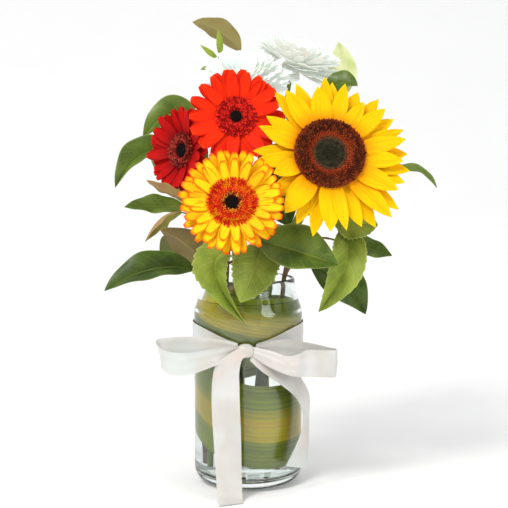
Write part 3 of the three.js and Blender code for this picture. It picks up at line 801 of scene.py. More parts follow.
def leaf_stalk(leaf, route, thick=1.5, drop=22 * MM):
    """A stalk from a little below the leaf on its stem, curving into the leaf's rib."""
    start, way = (a[0] for a in rib_points(LEAVES[leaf], np.zeros((1, 1))))
    parent = smooth_path(route, 80)
    root = parent[np.linalg.norm(parent - (start - [0, 0, drop]), axis=1).argmin()]
    bend = start - way * 0.35 * np.linalg.norm(root - start)
    t = np.linspace(0, 1, 14)[:, None]
    path = (1 - t) ** 2 * root + 2 * (1 - t) * t * bend + t**2 * (start + way * 3 * MM)
    return tube(path, np.linspace(thick, 0.75 * thick, 14) * MM, 8)


# %% Stems and green cups
BRACT = [0.9, 1, 0.75, 0.4, 0.06]


def stem_and_cup(name, cup_profile, bract_rings, leaves=()):
    """A tube with faint knobs along the stem's route, a turned cup, rings of bracts, and stalks."""
    radius, *_ = STEMS[name]
    route = stem_route(name)
    samples = 70
    knobs = 1 + 0.03 * np.sin(np.linspace(0, 60, samples))
    parts = [tube(smooth_path(route, samples), radius * MM * knobs, 16)]
    parts.append(turned(cup_profile, 32, head_frame(name)))
    parts += petal_rows(head_frame(name), bract_rings, BRACT, 0, grid=(9, 5), thickness=0.7)
    parts += [leaf_stalk(leaf, route) for leaf in leaves]
    add_piece(f"{name}_stem", together(*parts), GREEN_STEM)


# Turned profiles as (radius, height), then rings of bracts as (count, root, length, width, rise,
# curl, lift), in millimetres and degrees.
GERBERA_CUP = [(0, -14), (3, -14), (4.6, -11), (7.5, -6.5), (9, -2), (9, -0.3), (0, -0.3)]
SUNFLOWER_CUP = [(0, -25), (5.6, -25), (8, -22.5), (17, -15), (27, -7), (33, -2.4), (32, -1), (0, -1)]
WHITE_CUP = [(0, -10), (2.5, -10), (4.2, -7.5), (6.8, -4), (8, -1.5), (8, -0.3), (0, -0.3)]
GERBERA_BRACTS = [(14, 6.5, 8, 3.2, 42, -20, -6.5), (16, 8, 9, 3.2, 28, -14, -3.2)]
SUNFLOWER_BRACTS = [(18, 27, 24, 11, 12, -18, -8), (20, 31, 24, 11, 2, -8, -3)]
WHITE_BRACTS = [(12, 5.5, 7, 3, 40, -20, -5), (14, 7, 8, 3, 25, -14, -2.6)]
for name in ("orange_gerbera", "red_gerbera", "yellow_gerbera"):
    stem_and_cup(name, GERBERA_CUP, GERBERA_BRACTS)
for name in ("white_right", "white_left"):
    stem_and_cup(name, WHITE_CUP, WHITE_BRACTS)
stem_and_cup("sunflower", SUNFLOWER_CUP, SUNFLOWER_BRACTS, SUNFLOWER_LEAVES)
print("stems", len(STEMS))

# %% [markdown]
# ## The sunflower
# Two rows of pointed petals, golden at the root, partly as painted shade, of uneven length. The
# disc is two pieces: a dark seed centre and a ring of rust-coloured florets that stand up round it, both in
# spiral order.

# %% Sunflower
POINTED = [0.55, 0.86, 1, 1, 0.93, 0.76, 0.48, 0.03]
face = head_frame("sunflower")
# Each petal's direction in degrees from level right, how far its tip reaches from the middle of
# the disc, and its width at the widest. A ring at even steps would look stamped.
FRONT_PETALS = [
    (9, 74, 16), (38, 69, 17), (55, 62, 15), (75, 70, 15), (97, 65, 20), (122, 73, 18), (161, 65, 15),
    (200, 58, 17), (232, 76, 23), (266, 78, 21), (277, 79, 14), (310, 84, 20), (328, 73, 20), (352, 70, 17),
]
BACK_PETALS = [
    (0, 76, 17), (18, 77, 14), (29, 73, 17), (47, 74, 16), (63, 71, 18), (84, 73, 17), (90, 77, 15),
    (111, 77, 17), (128, 78, 15), (146, 70, 16), (157, 71, 15), (176, 71, 14), (186, 72, 15), (215, 72, 18),
    (243, 74, 16), (256, 79, 17), (290, 76, 17), (300, 80, 17), (320, 82, 16), (338, 76, 17), (347, 79, 18),
]


def sunflower_row(table, root, rise, curl, lift, seed):
    """One row of the listed petals: length is each one's reach less the root."""
    turn, reach, width = np.array(table, float).T[:, :, None, None]
    return petals(
        face, len(table), root, 1, 1, rise, curl, POINTED, lift, cup=0.13, pleat=0.035, wild=0.7, seed=seed,
        grid=(19, 9), turns=np.radians(turn), lengths=reach - root, widths=width,
    )


back_row = sunflower_row(BACK_PETALS, 27, -2, 4, 0, 3)
front_row = sunflower_row(FRONT_PETALS, 28, 6, 4, 2.4, 8)
add_piece("sunflower_back_petals", back_row, PETALS["sunflower"])
add_piece("sunflower_front_petals", front_row, PETALS["sunflower"])


print("sunflower petals", len(FRONT_PETALS) + len(BACK_PETALS))

# %% Sunflower disc
def disc_height(radius):
    """A shallow dish in the middle, a raised ring round it, and a fall to the edge."""
    return 4.6 + 4.5 * np.exp(-(((radius - 26) / 6.5) ** 2)) - 1.2 * np.clip((radius - 30) / 4, 0, 1)


def ringed(radius, random):
    """Bright near the seed centre and at the outer edge, dark between."""
    return np.clip(random * 0.55 + 0.6 * np.exp(-(((radius - 18) / 3) ** 2)) + 0.25 * (radius > 30), 0, 1)


def seeded(radius, random):
    """Dark in the middle, paler towards the ring."""
    return np.clip(0.2 + 0.5 * random - 0.25 * (radius < 8) + 0.35 * (radius > 13.5), 0, 1)


RING_FLORETS, CENTRE_FLORETS = 620, 420
ring_radii = np.array([34, 32, 29, 26, 23, 20, 17])
ring_top = np.stack([ring_radii, disc_height(ring_radii)], -1)
ring_bed = turned([(0, 3.3), (33, 3.3), (34, 4.5), *ring_top, (10, 3.9), (0, 3.9)], 48, face)
ring_florets = spiral_florets(
    face, RING_FLORETS, 16.5, 33.5, disc_height, size=0.72, height=3.4, lean=0.25, seed=5, tint=ringed
)
add_piece("sunflower_floret_ring", together(ring_bed, ring_florets), RUST_FLORETS)
centre_bed = turned([(0, 3.9), (15, 3.9), (16.4, 4.3), (12, 4.9), (6, 4.9), (0, 4.7)], 40, face)
centre_florets = spiral_florets(
    face, CENTRE_FLORETS, 0, 16.6, disc_height, size=0.52, height=1.5, lean=0.1, seed=6, tint=seeded
)
add_piece("sunflower_centre", together(centre_bed, centre_florets), SEED_DISC)
print("sunflower florets", RING_FLORETS + CENTRE_FLORETS)

# %% [markdown]
# ## The gerberas
# A gerbera has long strap petals with blunt tips, a fringe of short florets inside them and a
# dark eye. The three heads share one function and differ in size, row count and finish.

# %% Gerberas
STRAP = [0.42, 0.62, 0.8, 0.92, 1, 1, 0.9, 0.42]
FLORET = [0.7, 1, 0.9, 0.3]


def eye_height(radius):
    """A flattened dome: its height is an ellipse's."""
    return 3.2 + 3.0 * np.sqrt(np.clip(1 - (radius / 7.2) ** 2, 0, 1))


def level(radius):
    """The same height everywhere."""
    return np.full_like(radius, 5.2)


def gerbera(name, rows, rays, fringe, fringe_to, eye, swell=2.6, eye_fringe_to=None):
    """Rows of rays, outermost first, a spiral fringe from the eye out to fringe_to, and the eye."""
    face = head_frame(name)
    parts = petal_rows(face, rows, STRAP, 40, cup=0.14, pleat=0.05)
    finish_of_rays, slot = rays
    add_piece(f"{name}_ray_petals", together(*parts), finish_of_rays)

    def cushion(radius):
        """Half a sine wave from the eye to the fringe's edge."""
        share = np.clip((radius - eye) / (fringe_to - eye), 0, 1)
        return 3.6 + swell * np.sin(np.pi * share**0.8)

    edge = petals(
        face, 44, fringe_to - 7, 8.5, 2.2, 30, -20, FLORET, 3.2,
        cup=0.25, wild=1.8, seed=60, grid=(7, 3), thickness=0.5,
    )
    florets = spiral_florets(
        face, 460, eye, fringe_to - 0.5, cushion, size=0.52, height=2.6, lean=0.7, seed=61
    )
    bed_edge = [(fringe_to - 3, 2.3), (fringe_to - 2, 3.4)]
    bed = turned([(0, 2.3), *bed_edge, (eye + 3, 4.2), (eye, 3.2), (0, 3.2)], 32, face)
    add_piece(f"{name}_inner_florets", together(bed, edge, florets), fringe)
    dome = turned([(0, 3.3), (eye - 1.2, 3.3), (eye - 0.8, 4), (eye * 0.6, 5.6), (0, 6.2)], 28, face)
    buds = spiral_florets(face, 110, 0, eye - 0.6, eye_height, size=0.34, height=1.3, lean=0.15, seed=9)
    add_piece(f"{name}_disc", together(dome, buds), BLACK_DISC)
    if eye_fringe_to:
        ring = spiral_florets(
            face, 120, eye - 0.6, eye_fringe_to, level, size=0.5, height=2.6, lean=0.2, seed=14
        )
        add_piece(f"{name}_eye_fringe", ring, EYE_FRINGE, f"{name}_inner_florets")


ORANGE_ROWS = [(18, 7, 38.5, 12, 3, 9, 0.4), (17, 7, 37.5, 11.5, 8, 8, 1.0)]
RED_ROWS = [(20, 7, 36.5, 11.5, 5, 12, 0.4), (18, 7, 35, 11, 12, 12, 1.0)]
YELLOW_ROWS = [(19, 7, 42, 9.5, 1, 9, 0.4), (19, 7, 40.5, 9.5, 7, 8, 1.0), (17, 7, 33, 8.5, 11, 8, 1.4)]
gerbera("orange_gerbera", ORANGE_ROWS, (PETALS["orange"], "orange_petals"), RED_FLORETS, 18.5, 6.2)
gerbera("red_gerbera", RED_ROWS, (PETALS["red"], "red_petals"), MAROON_FLORETS, 17, 7.5)
gerbera(
    "yellow_gerbera", YELLOW_ROWS, (PETALS["yellow"], "yellow_petals"), FLAME_FLORETS, 23, 6.8,
    swell=4.6, eye_fringe_to=10.5,
)
print("gerberas done")

# %% [markdown]
# ## The white chrysanthemums
# They are double: eight rows of narrow petals, each row shorter and steeper than the one outside
# it, so the head is a full white cushion with only a hint of its cream disc.

# %% White chrysanthemums
NARROW = [0.4, 0.7, 0.95, 1, 1, 0.88, 0.45]


DOUBLE_ROWS = [
    (24, 5, 45, 12, -6, 4, 0.0), (24, 5, 45, 12, 2, 6, 0.4), (24, 5, 42, 11.5, 9, 8, 0.8),
    (24, 5, 39, 11, 16, 10, 1.1), (22, 5, 35, 10.5, 24, 12, 1.4), (20, 5, 31, 10, 33, 14, 1.7),
    (18, 5, 26, 9, 44, 14, 2.0), (14, 5, 20, 8, 58, 14, 2.2),
]


def cream_height(radius):
    """A small dome: its height is an ellipse's."""
    return 3.6 + 1.9 * np.sqrt(np.clip(1 - (radius / 4.6) ** 2, 0, 1))


def chrysanthemum(name, size):
    """Eight rings of petals with their lengths and widths scaled by size, and a small disc."""
    face = head_frame(name)
    parts = petal_rows(
        face, DOUBLE_ROWS, NARROW, 80, step=0.37, size=size, cup=0.2, wild=1.2, grid=(11, 5), thickness=0.4
    )
    parts.append(turned([(0, -0.2), (7.6, -0.2), (7.8, 1.2), (4, 2.4), (0, 2.6)], 28, face))
    add_piece(f"{name}_petals", together(*parts), PETALS["white"])
    bed = turned([(0, 2.7), (4, 2.7), (4.3, 4), (2.5, 5.2), (0, 5.6)], 24, face)
    eye = spiral_florets(face, 60, 0, 4.2, cream_height, size=0.33, height=1.4, lean=0.1, seed=12)
    add_piece(f"{name}_disc", together(bed, eye), CREAM_DISC)


chrysanthemum("white_right", 1.08)
chrysanthemum("white_left", 0.9)
print("chrysanthemums done")

# %% [markdown]
# ## Foliage
# A leaf is the CAD model's arc with a real cross-section: a V at the rib, halves that arch over,
# a slow ripple that grows towards the edge and, on the sunflower's own leaves, teeth.

# %% Leaves
# What differs in a few leaves: how much of the length is bare stalk, where the blade is widest
# (a low number for nearer the base), and how far it folds up towards its tip.
LEAF_HABITS = {
    "leaf_front_serrated_left": dict(bare=0.02, belly=0.6, closing=3.0),
    "leaf_front_serrated_right": dict(bare=0.02),
    "leaf_brown_underside": dict(belly=0.6),
    "leaf_left_pink": dict(closing=1.2),
    "leaf_right_hanging": dict(closing=1.0),
}
TEETH = 14
STALK_HALF, TIP_HALF = 1.1, 0.35


def leaf_surface(leaf, seed, grid=(41, 17), bare=0.14, belly=0.9, closing=0.3):
    """Rib point + across * half width * v + up * (V + arch + ripple). The half width is a sine of
    the way along the blade, and teeth push the outline out and in as a saw."""
    *_, width, facing, fold, _, ripple, teeth = leaf
    n, m = (grid[0] * 2 - 1, grid[1]) if teeth else grid  # the teeth need closer points
    t, v = np.linspace(0, 1, n)[:, None], np.linspace(-1, 1, m)[None, :]
    rib, along = rib_points(leaf, t)
    across = unit(np.cross(unit(facing), along))
    up = np.cross(along, across)
    blade = np.clip((t - bare) / (1 - bare), 0, 1)
    least = np.where(t < bare, STALK_HALF, TIP_HALF)
    half = np.maximum(width / 2 * np.sin(np.pi * blade**belly) ** 0.85, least) * MM
    saw = (blade * TEETH) % 1 - 0.5
    spread = half * v * (1 + 0.14 * teeth * saw * np.abs(v) ** 5 * (blade > 0.05))
    wave = np.sin(2 * np.pi * (2.6 * blade + 0.37 * seed) + 1.4 * np.sign(v)) * ripple * MM
    fold = np.radians(fold * (1 + closing * blade))
    arch = 0.28 * half * (np.abs(v) - v**2)
    rise = half * np.abs(v) * np.sin(fold) + arch + wave * v**2 * np.sin(np.pi * blade)
    sideways = across[:, None] * (spread * np.cos(fold))[..., None]
    middle = rib[:, None] + sideways + up[:, None] * rise[..., None]
    rim_thin = (0.75 - 0.35 * np.abs(v)) * MM * np.ones_like(t)
    return plates(middle[None], rim_thin[None, ..., None], 0.5)


for seed, (name, leaf) in enumerate(LEAVES.items()):
    key = leaf[6]
    shape = leaf_surface(leaf, seed, **LEAF_HABITS.get(name, {}))
    add_piece(name, shape, LEAF_FINISHES[key])
print("leaves", len(LEAVES))

# %% [markdown]
# At the top a young shoot forks into three small upright leaves. It is one piece, because it is
# all one growth: a tube and the same leaf surface, small and with fewer points.

# %% Young shoot
SHOOT_ROUTE = [(-31, 38, 398), (-32, 30, 410), (-28, 12, 428)]
LEAFLETS = [  # base, middle, tip and width
    ((-28, 13, 424), (-28, 10, 438), (-30, 6, 453), 7),
    ((-28, 13, 424), (-37, 9, 430), (-47, 3, 438), 6),
    ((-31, 25, 414), (-39, 18, 416), (-47, 7, 414), 6),
]
shoot_parts = [tube(smooth_path(np.array(SHOOT_ROUTE) * MM, 24), 1.5 * MM, 8)]
for row in LEAFLETS:
    shoot_parts.append(leaf_surface((*row, (0, -1, 0.3), 14, "bright", 0.3, 0), 1, (19, 7)))
add_piece("young_shoot", together(*shoot_parts), LEAF_FINISHES["bright"])
print("young shoot done")

# %% [markdown]
# Three woody twigs carry the broad leaves. Each is a tube whose radius swells at its knots, with
# a stalk for each of its leaves.

# %% Twigs
TWIGS = {
    "twig_left": (
        [(-29, 14, FOOT), (-33, 8, 120), (-35, 4, 200), (-41, 12, 250), (-42, 26, 300), (-43, 36, 335)],
        ["leaf_lower_left_long", "leaf_brown_underside", "leaf_left_bright_tip", "leaf_left_brown_small",
         "leaf_left_pink", "leaf_left_folded", "leaf_back_left", "leaf_back_low_left", "leaf_left_upper"],
    ),
    "twig_right": (
        [(24, -16, FOOT), (31, -18, 120), (35, -10, 200), (48, 10, 250), (66, 20, 310), (73, 24, 372)],
        ["leaf_top_right_pale", "leaf_right_far", "leaf_right_small_tip", "leaf_right_dark",
         "leaf_back_right", "leaf_top_right_dark"],
    ),
    "twig_back": (
        [(-14, 26, FOOT), (-20, 24, 120), (-22, 22, 200), (-18, 36, 260), (-14, 44, 340), (-8, 38, 408)],
        ["leaf_back_middle", "leaf_back_low", "leaf_top_left"],
    ),
}
for name, (route, leaves) in TWIGS.items():
    route = np.array(route) * MM
    samples = 80
    knots = 1 + 0.10 * np.sin(np.linspace(0, 40, samples)) ** 8
    radii = 2.2 * MM * knots * np.linspace(1.1, 0.8, samples)
    parts = [tube(smooth_path(route, samples), radii, 12)]
    parts += [leaf_stalk(leaf, route, 1.4) for leaf in leaves]
    add_piece(name, together(*parts), BARK)
print("twigs", len(TWIGS))

# %% [markdown]
# ## The vase
# Pressed glass is one turned wall: a thick foot, a straight body, a soft shoulder and a short
# neck with a rounded rim. It stays one closed skin, outside, over the rim and down the inside, so
# light bends twice as it does in real glass.

# %% Vase
VASE = dict(height=207, radius=54.5, neck=47, low=170, high=200, wall=3.5, floor=10, foot=40, corner=16)


def outer_radius(height):
    """Straight, then a smooth step in to the neck: 3 s squared less 2 s cubed."""
    s = np.clip((height - VASE["low"]) / (VASE["high"] - VASE["low"]), 0, 1)
    return VASE["radius"] - (VASE["radius"] - VASE["neck"]) * s * s * (3 - 2 * s)


def inner_radius(height):
    """The outside less the wall."""
    return outer_radius(height) - VASE["wall"]


def corner(from_radius, to_radius, low, high):
    """A quarter of an ellipse, from flat to upright."""
    a = np.linspace(0, np.pi / 2, 9)
    radius = from_radius + (to_radius - from_radius) * np.sin(a)
    return np.stack([radius, high - (high - low) * np.cos(a)], -1)


def vase_profile():
    """Foot, outer corner, outside, half a circle over the rim, inside, inner corner and floor."""
    v = VASE
    shoulder = np.linspace(v["low"] - 4, v["high"] + 1, 16)
    rim_angle = np.radians([0, 35, 70, 110, 145, 180])
    rim_round = v["wall"] / 2
    rim_radius = outer_radius(v["height"]) - rim_round + rim_round * np.cos(rim_angle)
    rim = np.stack([rim_radius, v["height"] - rim_round + rim_round * np.sin(rim_angle)], -1)
    return np.concatenate([
        [(0, 1.2), (30, 1.0), (36, 0)],
        corner(v["foot"], v["radius"], 0, v["corner"]),
        np.stack([outer_radius(shoulder), shoulder], -1),
        rim,
        np.stack([inner_radius(shoulder), shoulder], -1)[::-1],
        corner(v["foot"] - 2, v["radius"] - v["wall"], v["floor"], v["floor"] + v["corner"] - 2)[::-1],
        [(20, 10.6), (0, 10.9)],
    ])


def clear(name, colour, ior):
    """A smooth clear body: all the light goes through it, and bends by its index of refraction."""
    constants = {"Base Color": colour, "Transmission Weight": 1.0, "IOR": ior, "Roughness": 0.0}
    return finish(name, constants)


GLASS = clear("clear_glass", (0.945, 0.985, 0.975), 1.45)
add_piece("vase_glass", turned(vase_profile(), 96), GLASS, sharp=40)
print("vase rim", VASE["height"], "mm")

# %% [markdown]
# ## Water
# Water that stops short of the glass shows a false silvery gap. So its side reaches a hair into
# the glass wall, and its surface climbs slightly where it meets the wall.

# %% Water
LEVEL = 185
INTO_WALL = 0.15
side_heights = np.linspace(26, LEVEL, 24)
wet = inner_radius(side_heights) + INTO_WALL
water_profile = np.concatenate([
    [(0, 10.3)],
    corner(VASE["foot"] - 1.8, VASE["radius"] - VASE["wall"] + INTO_WALL, 9.8, 24),
    np.stack([wet, side_heights], -1),
    [(wet[-1] - 0.6, LEVEL - 0.6), (wet[-1] - 2.5, LEVEL - 1.4), (0, LEVEL - 1.6)],
])
WATER = clear("still_water", (0.99, 1.0, 0.98), 1.333)
add_piece("water", turned(water_profile, 96), WATER, sharp=40)
print("water level", LEVEL, "mm")

# %% [markdown]
# ## The rolled leaf
# A long strap leaf with yellow stripes down its middle is rolled twice round inside the glass.
# Each turn is set a little deeper than the last, and the midrib sinks as it goes round, so the
# stripes cross the front twice.

# %% Rolled leaf
ROLL = np.array([  # turns from the front, the midrib's height, and the leaf's width
    (-0.5, 176, 30), (-0.25, 164, 62), (0, 158, 66), (0.25, 158, 56), (0.5, 136, 72),
    (0.75, 96, 84), (1, 66, 82), (1.25, 64, 80), (1.5, 62, 50),
])


def rolled_leaf(n=240, m=25):
    """At each turn: radius = the glass's inside less a depth that grows by 1.3 mm a turn, with
    the angle and the midrib's height on smooth curves through the table."""
    turns, height, width = smooth_path(ROLL, n).T[:, :, None]
    v = np.linspace(-1, 1, m)[None, :]
    end = np.clip((turns - 1.3) / 0.2, 0, 1)
    width = width * np.sqrt(np.clip(1 - 0.9 * end**2, 0.02, 1))
    z = height + v * width / 2
    buckle = 0.25 * np.sin(2 * np.pi * turns * 3.1) * v
    radius = inner_radius(z) - 1.2 - 1.3 * (turns + 0.5) + buckle * 0.6
    angle = 2 * np.pi * turns
    middle = np.stack([radius * np.sin(angle), -radius * np.cos(angle), z], -1) * MM
    return plates(middle[None], 0.55 * MM)


def striped(n):
    """Yellow along the middle: how far a point is from the stripe's middle sets the band, and
    noise drawn out along the leaf breaks it into threads, most of all on the upper turn."""
    across, along = n.place()
    upper = 1 - along.between(0.35, 0.5)
    wander = n.noise(1, 2, n.vector(along * 5, across * 0.6, 0.3)) * 0.16 - 0.08
    lean = (0.345 - along) * 3.2
    spot = across + wander - upper * lean
    threads = n.noise(1, 4, n.vector(along * 3, (across - upper * lean) * 30, 0.1))
    line = threads.between(0.44, 0.56)
    band = abs(spot).between(0.46, 0.30)
    centre = abs(spot + 0.1).between(0.30, 0.22) * (1 - upper * (1 - line) * 0.35)
    green = n.mix(threads.between(0.3, 0.7), (0.24, 0.31, 0.004), (0.46, 0.54, 0.015))
    green = n.mix(upper * line * 0.5, green, (0.16, 0.20, 0.004))
    pale = n.mix(line, (0.46, 0.50, 0.004), (0.80, 0.62, 0.004))
    yellow = n.mix(line, (0.94, 0.64, 0.0), (1.0, 0.76, 0.0))
    colour = n.mix(centre, n.mix(band, green, pale), yellow)
    return {"Base Color": colour, "Roughness": 0.38 + threads * 0.15, "Normal": n.bump(threads, 0.35, 0.3)}


STRIPED_LEAF = finish("striped_strap_leaf", {"Specular IOR Level": 0.4}, striped)
add_piece("rolled_leaf", rolled_leaf(), STRIPED_LEAF)
print("rolled leaf turns", ROLL[-1, 0] - ROLL[0, 0])

# %% [markdown]
# ## The satin ribbon
# Each stretch of ribbon is a strip between two edges, and each edge is a smooth curve through a
# few points. That gives pinches, twists and cut ends with no simulation, which a band this short
# and stiff doesn't need. The satin is a fine weave that catches light along its threads.

# %% Satin
def satin_weave(n):
    """Two sets of fine waves, across and along the ribbon, over clouds of three pale tints: ivory, and a
    bluish and a pinkish one painted as shade. The UV map is in metres, so 2600 waves to the unit is a thread
    every 0.4 mm."""
    across, along = n.uv()
    threads = (across * 2600).wave() * 0.5 + (along * 1400).wave() * 0.5
    cloud = n.noise(38, 2)
    body = n.mix(cloud.between(0.35, 0.7), (0.60, 0.57, 0.53), (0.67, 0.66, 0.635))
    # Painted shade: bluish and pinkish clouds over the ivory stand for the satin's shaded folds.
    body = n.mix(n.noise(26, 1).between(0.5, 0.68) * 0.45, body, (0.60, 0.70, 0.68))
    body = n.mix(n.noise(31, 1).between(0.56, 0.7) * 0.4, body, (0.74, 0.57, 0.50))
    return {
        "Base Color": n.mix(threads * 0.15, body, (0.48, 0.45, 0.41)),
        "Roughness": 0.30 + threads * 0.12,
        "Normal": n.bump(threads, 0.12, 0.08),
    }


SHEEN = {"Sheen Weight": 0.15, "Sheen Roughness": 0.4, "Specular IOR Level": 0.35}
SATIN = finish("ivory_satin", SHEEN, satin_weave)


def strip(edges, crease, waves, n=60, m=15):
    """Each row of edges is one point on the first edge and one on the other. The strip is the
    straight line between the two curves, pushed out by a crease along its middle and by waves. It
    comes with its length along the middle."""
    curves = smooth_path(np.array(edges, float).reshape(len(edges), 6), n) * MM
    first, second = curves[:, None, :3], curves[:, None, 3:]
    v = np.linspace(0, 1, m)[None, :, None]
    middle = first * (1 - v) + second * v
    normal = unit(np.cross(np.gradient(middle, axis=0), np.gradient(middle, axis=1)))
    push = crease * np.sin(np.pi * v) + waves * np.sin(5 * np.pi * v)
    middle = middle + normal * push * MM
    steps = np.linalg.norm(np.diff(middle.mean(1), axis=0), axis=1)
    lengths = np.concatenate([[0], np.cumsum(steps)])
    widths = np.linalg.norm(second - first, axis=-1).max()
    uv = np.stack(np.broadcast_arrays(v[..., 0] * widths, lengths[:, None]), -1)
    return plates(middle[None], 0.35 * MM, 0.5, uv), lengths[-1]


print("satin ready")

# %% [markdown]
# The bow is tied from one length, and is built as what the eye sees of it: the band round the
# glass, two loops, two tails and the knot. Each one's length along its middle is printed as its cut length.

# %% Bow
SIDE = 55.6  # ribbon's radius on the glass


def band_rows():
    """Round the vase from one side of the knot to the other, dipping and narrowing towards it."""
    rows = []
    for turn in np.linspace(0.028, 0.972, 33):
        near = np.exp(-((min(turn, 1 - turn) / 0.11) ** 2))
        x, y = SIDE * np.sin(2 * np.pi * turn), -SIDE * np.cos(2 * np.pi * turn)
        middle, half = 151 - 9 * near, 12.5 * (1 - 0.5 * near)
        rows.append((x, y, middle - half, x, y, middle + half))
    return rows


# Each stretch's rows of two edge points, its crease and waves in millimetres, and how it is held.
RIBBON = {
    "ribbon_band": (band_rows(), 0.2, 0, "stretched"),
    "ribbon_loop_left": ([
        (-7, -64, 138, -7, -63, 148), (-20, -69, 134, -20, -67, 148), (-38, -75, 128, -37, -73, 146),
        (-56, -79, 122.5, -58, -77, 143.5), (-72, -77, 122, -77, -75, 145), (-82, -70, 127, -87, -68, 150),
        (-81, -62, 130, -86, -60, 154), (-68, -56, 130, -70, -54, 155), (-48, -54, 130, -50, -53, 155),
        (-28, -57, 134, -28, -56, 153), (-10, -60, 139, -10, -60, 149),
    ], 1.2, 0.25, "folded"),
    "ribbon_loop_right": ([
        (5, -64, 137, 5, -63, 147), (20, -71, 129, 22, -69, 144), (36, -77, 123, 37, -74, 140),
        (46, -74, 120, 48, -70, 141), (56, -67, 118.5, 57, -64, 144), (70, -64, 117.5, 71, -62, 143.5),
        (83, -62, 117, 84, -60, 143), (84, -58, 118, 85, -56, 144), (78, -55, 120, 78, -54, 145),
        (60, -54, 123, 60, -53, 149), (36, -56, 130, 34, -55, 153), (8, -60, 138, 8, -60, 149),
    ], 1.2, 0.25, "folded"),
    "ribbon_tail_front": ([
        (-9, -66, 146, 3, -66, 140), (-18, -70, 141, -5, -69, 136), (-30, -71, 132, -8, -70.5, 124),
        (-34, -71, 114, -8, -71, 112), (-34.5, -71, 90, -7.5, -71, 90), (-33, -70.5, 60, -6.5, -70.5, 60),
        (-31, -71, 30, -6, -71, 30), (-30, -73, 13, -5.5, -73, 13), (-29, -78, 3.5, -5, -78, 3),
        (-28, -86, 0.7, -4.5, -84, 0.7), (-27, -97, 0.6, -4, -87, 0.6),
    ], 0.3, 0.08, "hung"),
    "ribbon_tail_right": ([
        (2, -66, 134, 5, -60, 143), (14, -70, 124, 19, -57, 136), (31, -65, 111, 38, -50, 125),
        (45, -57, 98, 53, -37, 110), (52, -49, 85, 61, -26, 92), (54, -47, 70, 61, -24, 72),
        (51, -49, 56, 61, -27, 54), (45, -52, 43, 60, -32, 40), (37, -56, 28, 57, -40, 21),
    ], 0.3, 0.08, "hung"),
}
for name, (rows, crease, waves, held) in RIBBON.items():
    shape, length = strip(rows, crease, waves)
    piece = add_piece(name, shape, SATIN)
    on = "vase_glass" if name == "ribbon_band" else "ribbon_knot"
    print(name, "cut length", round(length / MM), "mm")

# %% [markdown]
# The knot is the ribbon passed once over the pinch: a short plump fold with creases across it.

# %% Knot
def knot(n=36, m=64):
    """A ball made boxy by raising each direction's parts to the power 0.75, pressed to 8.5 by 5 by
    6.5 mm, and creased up and down by a sine of the way across."""
    a = np.linspace(0.1, np.pi - 0.1, n)[:, None]
    b = np.linspace(0, 2 * np.pi, m, endpoint=False)[None, :]
    ball = np.stack(np.broadcast_arrays(np.sin(a) * np.cos(b), np.sin(a) * np.sin(b), -np.cos(a)), -1)
    x, y, z = np.moveaxis(np.sign(ball) * np.abs(ball) ** 0.75, -1, 0)
    crease = 1 + 0.10 * np.sin(6.5 * x + 2.2 * z + 0.8) * np.clip(-y, 0, 1) + 0.05 * np.sin(4 * z)
    pinch = 1 - 0.16 * np.abs(z) ** 2
    points = np.stack([8.3 * x * pinch, 5.2 * y * crease, 6.8 * z], -1) + [-2, -63, 143]
    ends = points[0].mean(0, keepdims=True), points[-1].mean(0, keepdims=True)
    return skins(points[None] * MM, *(e * MM for e in ends))


add_piece("ribbon_knot", knot(), SATIN)
print("knot done")

# %% [markdown]
# ## Studio
# A pale floor that curves up behind, a bright even sky and two soft lamps, one warm key from the
# upper left and a wide fill. Slightly darker sides in the sky give the glass its dark edges.

# %% Floor
def sweep_floor():
    """Flat near the vase, then a quarter circle up to a wall: height from the arc's own formula."""
    start, radius = 0.9, 2.2
    bend = np.linspace(0, np.pi / 2, 48)
    y = np.concatenate([np.linspace(-4, start - 0.1, 20), start + radius * np.sin(bend), [start + radius]])
    z = np.concatenate([np.zeros(20), radius - radius * np.cos(bend), [radius + 2.5]])
    x = np.linspace(-5, 5, 21)
    grid = np.stack(np.broadcast_arrays(x[:, None], y[None], z[None]), -1)
    return plates(grid[None] - [0, 0, 0.0025], 0.004)


def paper(n):
    """Nearly even white, with faint clouds."""
    return {"Base Color": n.mix(n.noise(6, 2), (0.90, 0.90, 0.90), (0.93, 0.93, 0.93))}


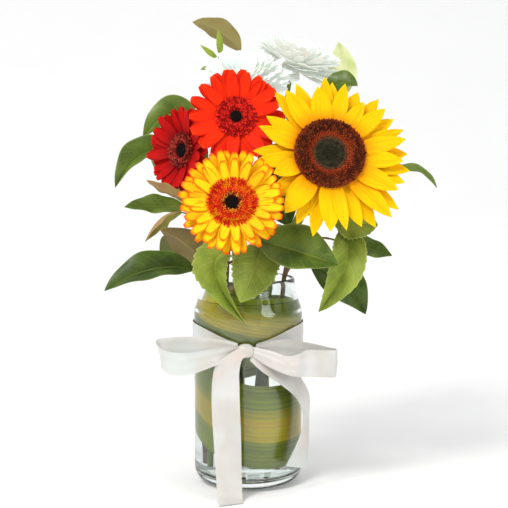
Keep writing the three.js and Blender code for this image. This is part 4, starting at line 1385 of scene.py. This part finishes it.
PAPER = finish("pale_paper", {"Roughness": 0.9, "Emission Strength": 0.08}, paper)
floor = new_object("floor", sweep_floor(), PAPER)
print("floor and wall up to", round(max(v.co.z for v in floor.data.vertices), 2), "m")

# %% Sky

world = bpy.data.worlds.new("studio")
bpy.context.scene.world = world
world.use_nodes = True
sky = Nodes(world.node_tree)
to_right, to_back, _ = sky.parts(sky.node("ShaderNodeTexCoord"))
sideways = abs(to_right).between(0.7, 0.98)
low_front = (to_back * -1).between(0.2, 0.7)
dim = sideways.math("MAXIMUM", sideways, low_front)
background = world.node_tree.nodes["Background"]
seen = sky.node("ShaderNodeLightPath")
shade = sky.mix(dim, (1.0, 1.0, 1.0), (0.55, 0.57, 0.58))
SKY_STRENGTH = 0.78
bare = (1 / SKY_STRENGTH,) * 3  # where the camera sees past the floor, plain white
sky.join(sky.mix(seen, shade, bare), background.inputs["Color"])
background.inputs["Strength"].default_value = SKY_STRENGTH


print("sky strength", SKY_STRENGTH)

# %% Lamps
BOUQUET_MIDDLE = Vector((0, 0, 0.28))


def lamp(name, place, size, watts, colour):
    """A round soft lamp that faces the middle of the bouquet."""
    light = bpy.data.lights.new(name, "AREA")
    light.shape = "DISK"
    light.size = size
    light.energy = watts
    light.color = colour
    holder = bpy.data.objects.new(name, light)
    holder.location = place
    holder.rotation_euler = (BOUQUET_MIDDLE - Vector(place)).to_track_quat("-Z", "Y").to_euler()
    bpy.context.scene.collection.objects.link(holder)


lamp("key", (-1.6, -2.2, 2.9), 1.3, 100, (1.0, 0.98, 0.95))
lamp("fill", (2.2, -2.0, 1.3), 1.8, 26, (0.95, 0.98, 1.0))

print(len(bpy.data.lights), "lamps")

# %% Camera
camera = bpy.data.objects.new("camera", bpy.data.cameras.new("camera"))
camera.location = (0.006, -1.214, 0.350)
camera.rotation_euler = (np.radians(90 - 5.63), 0, 0)
camera.data.lens = 86.03
bpy.context.scene.collection.objects.link(camera)
bpy.context.scene.camera = camera
bpy.context.scene.view_settings.view_transform = "Standard"
print("camera at", tuple(camera.location))
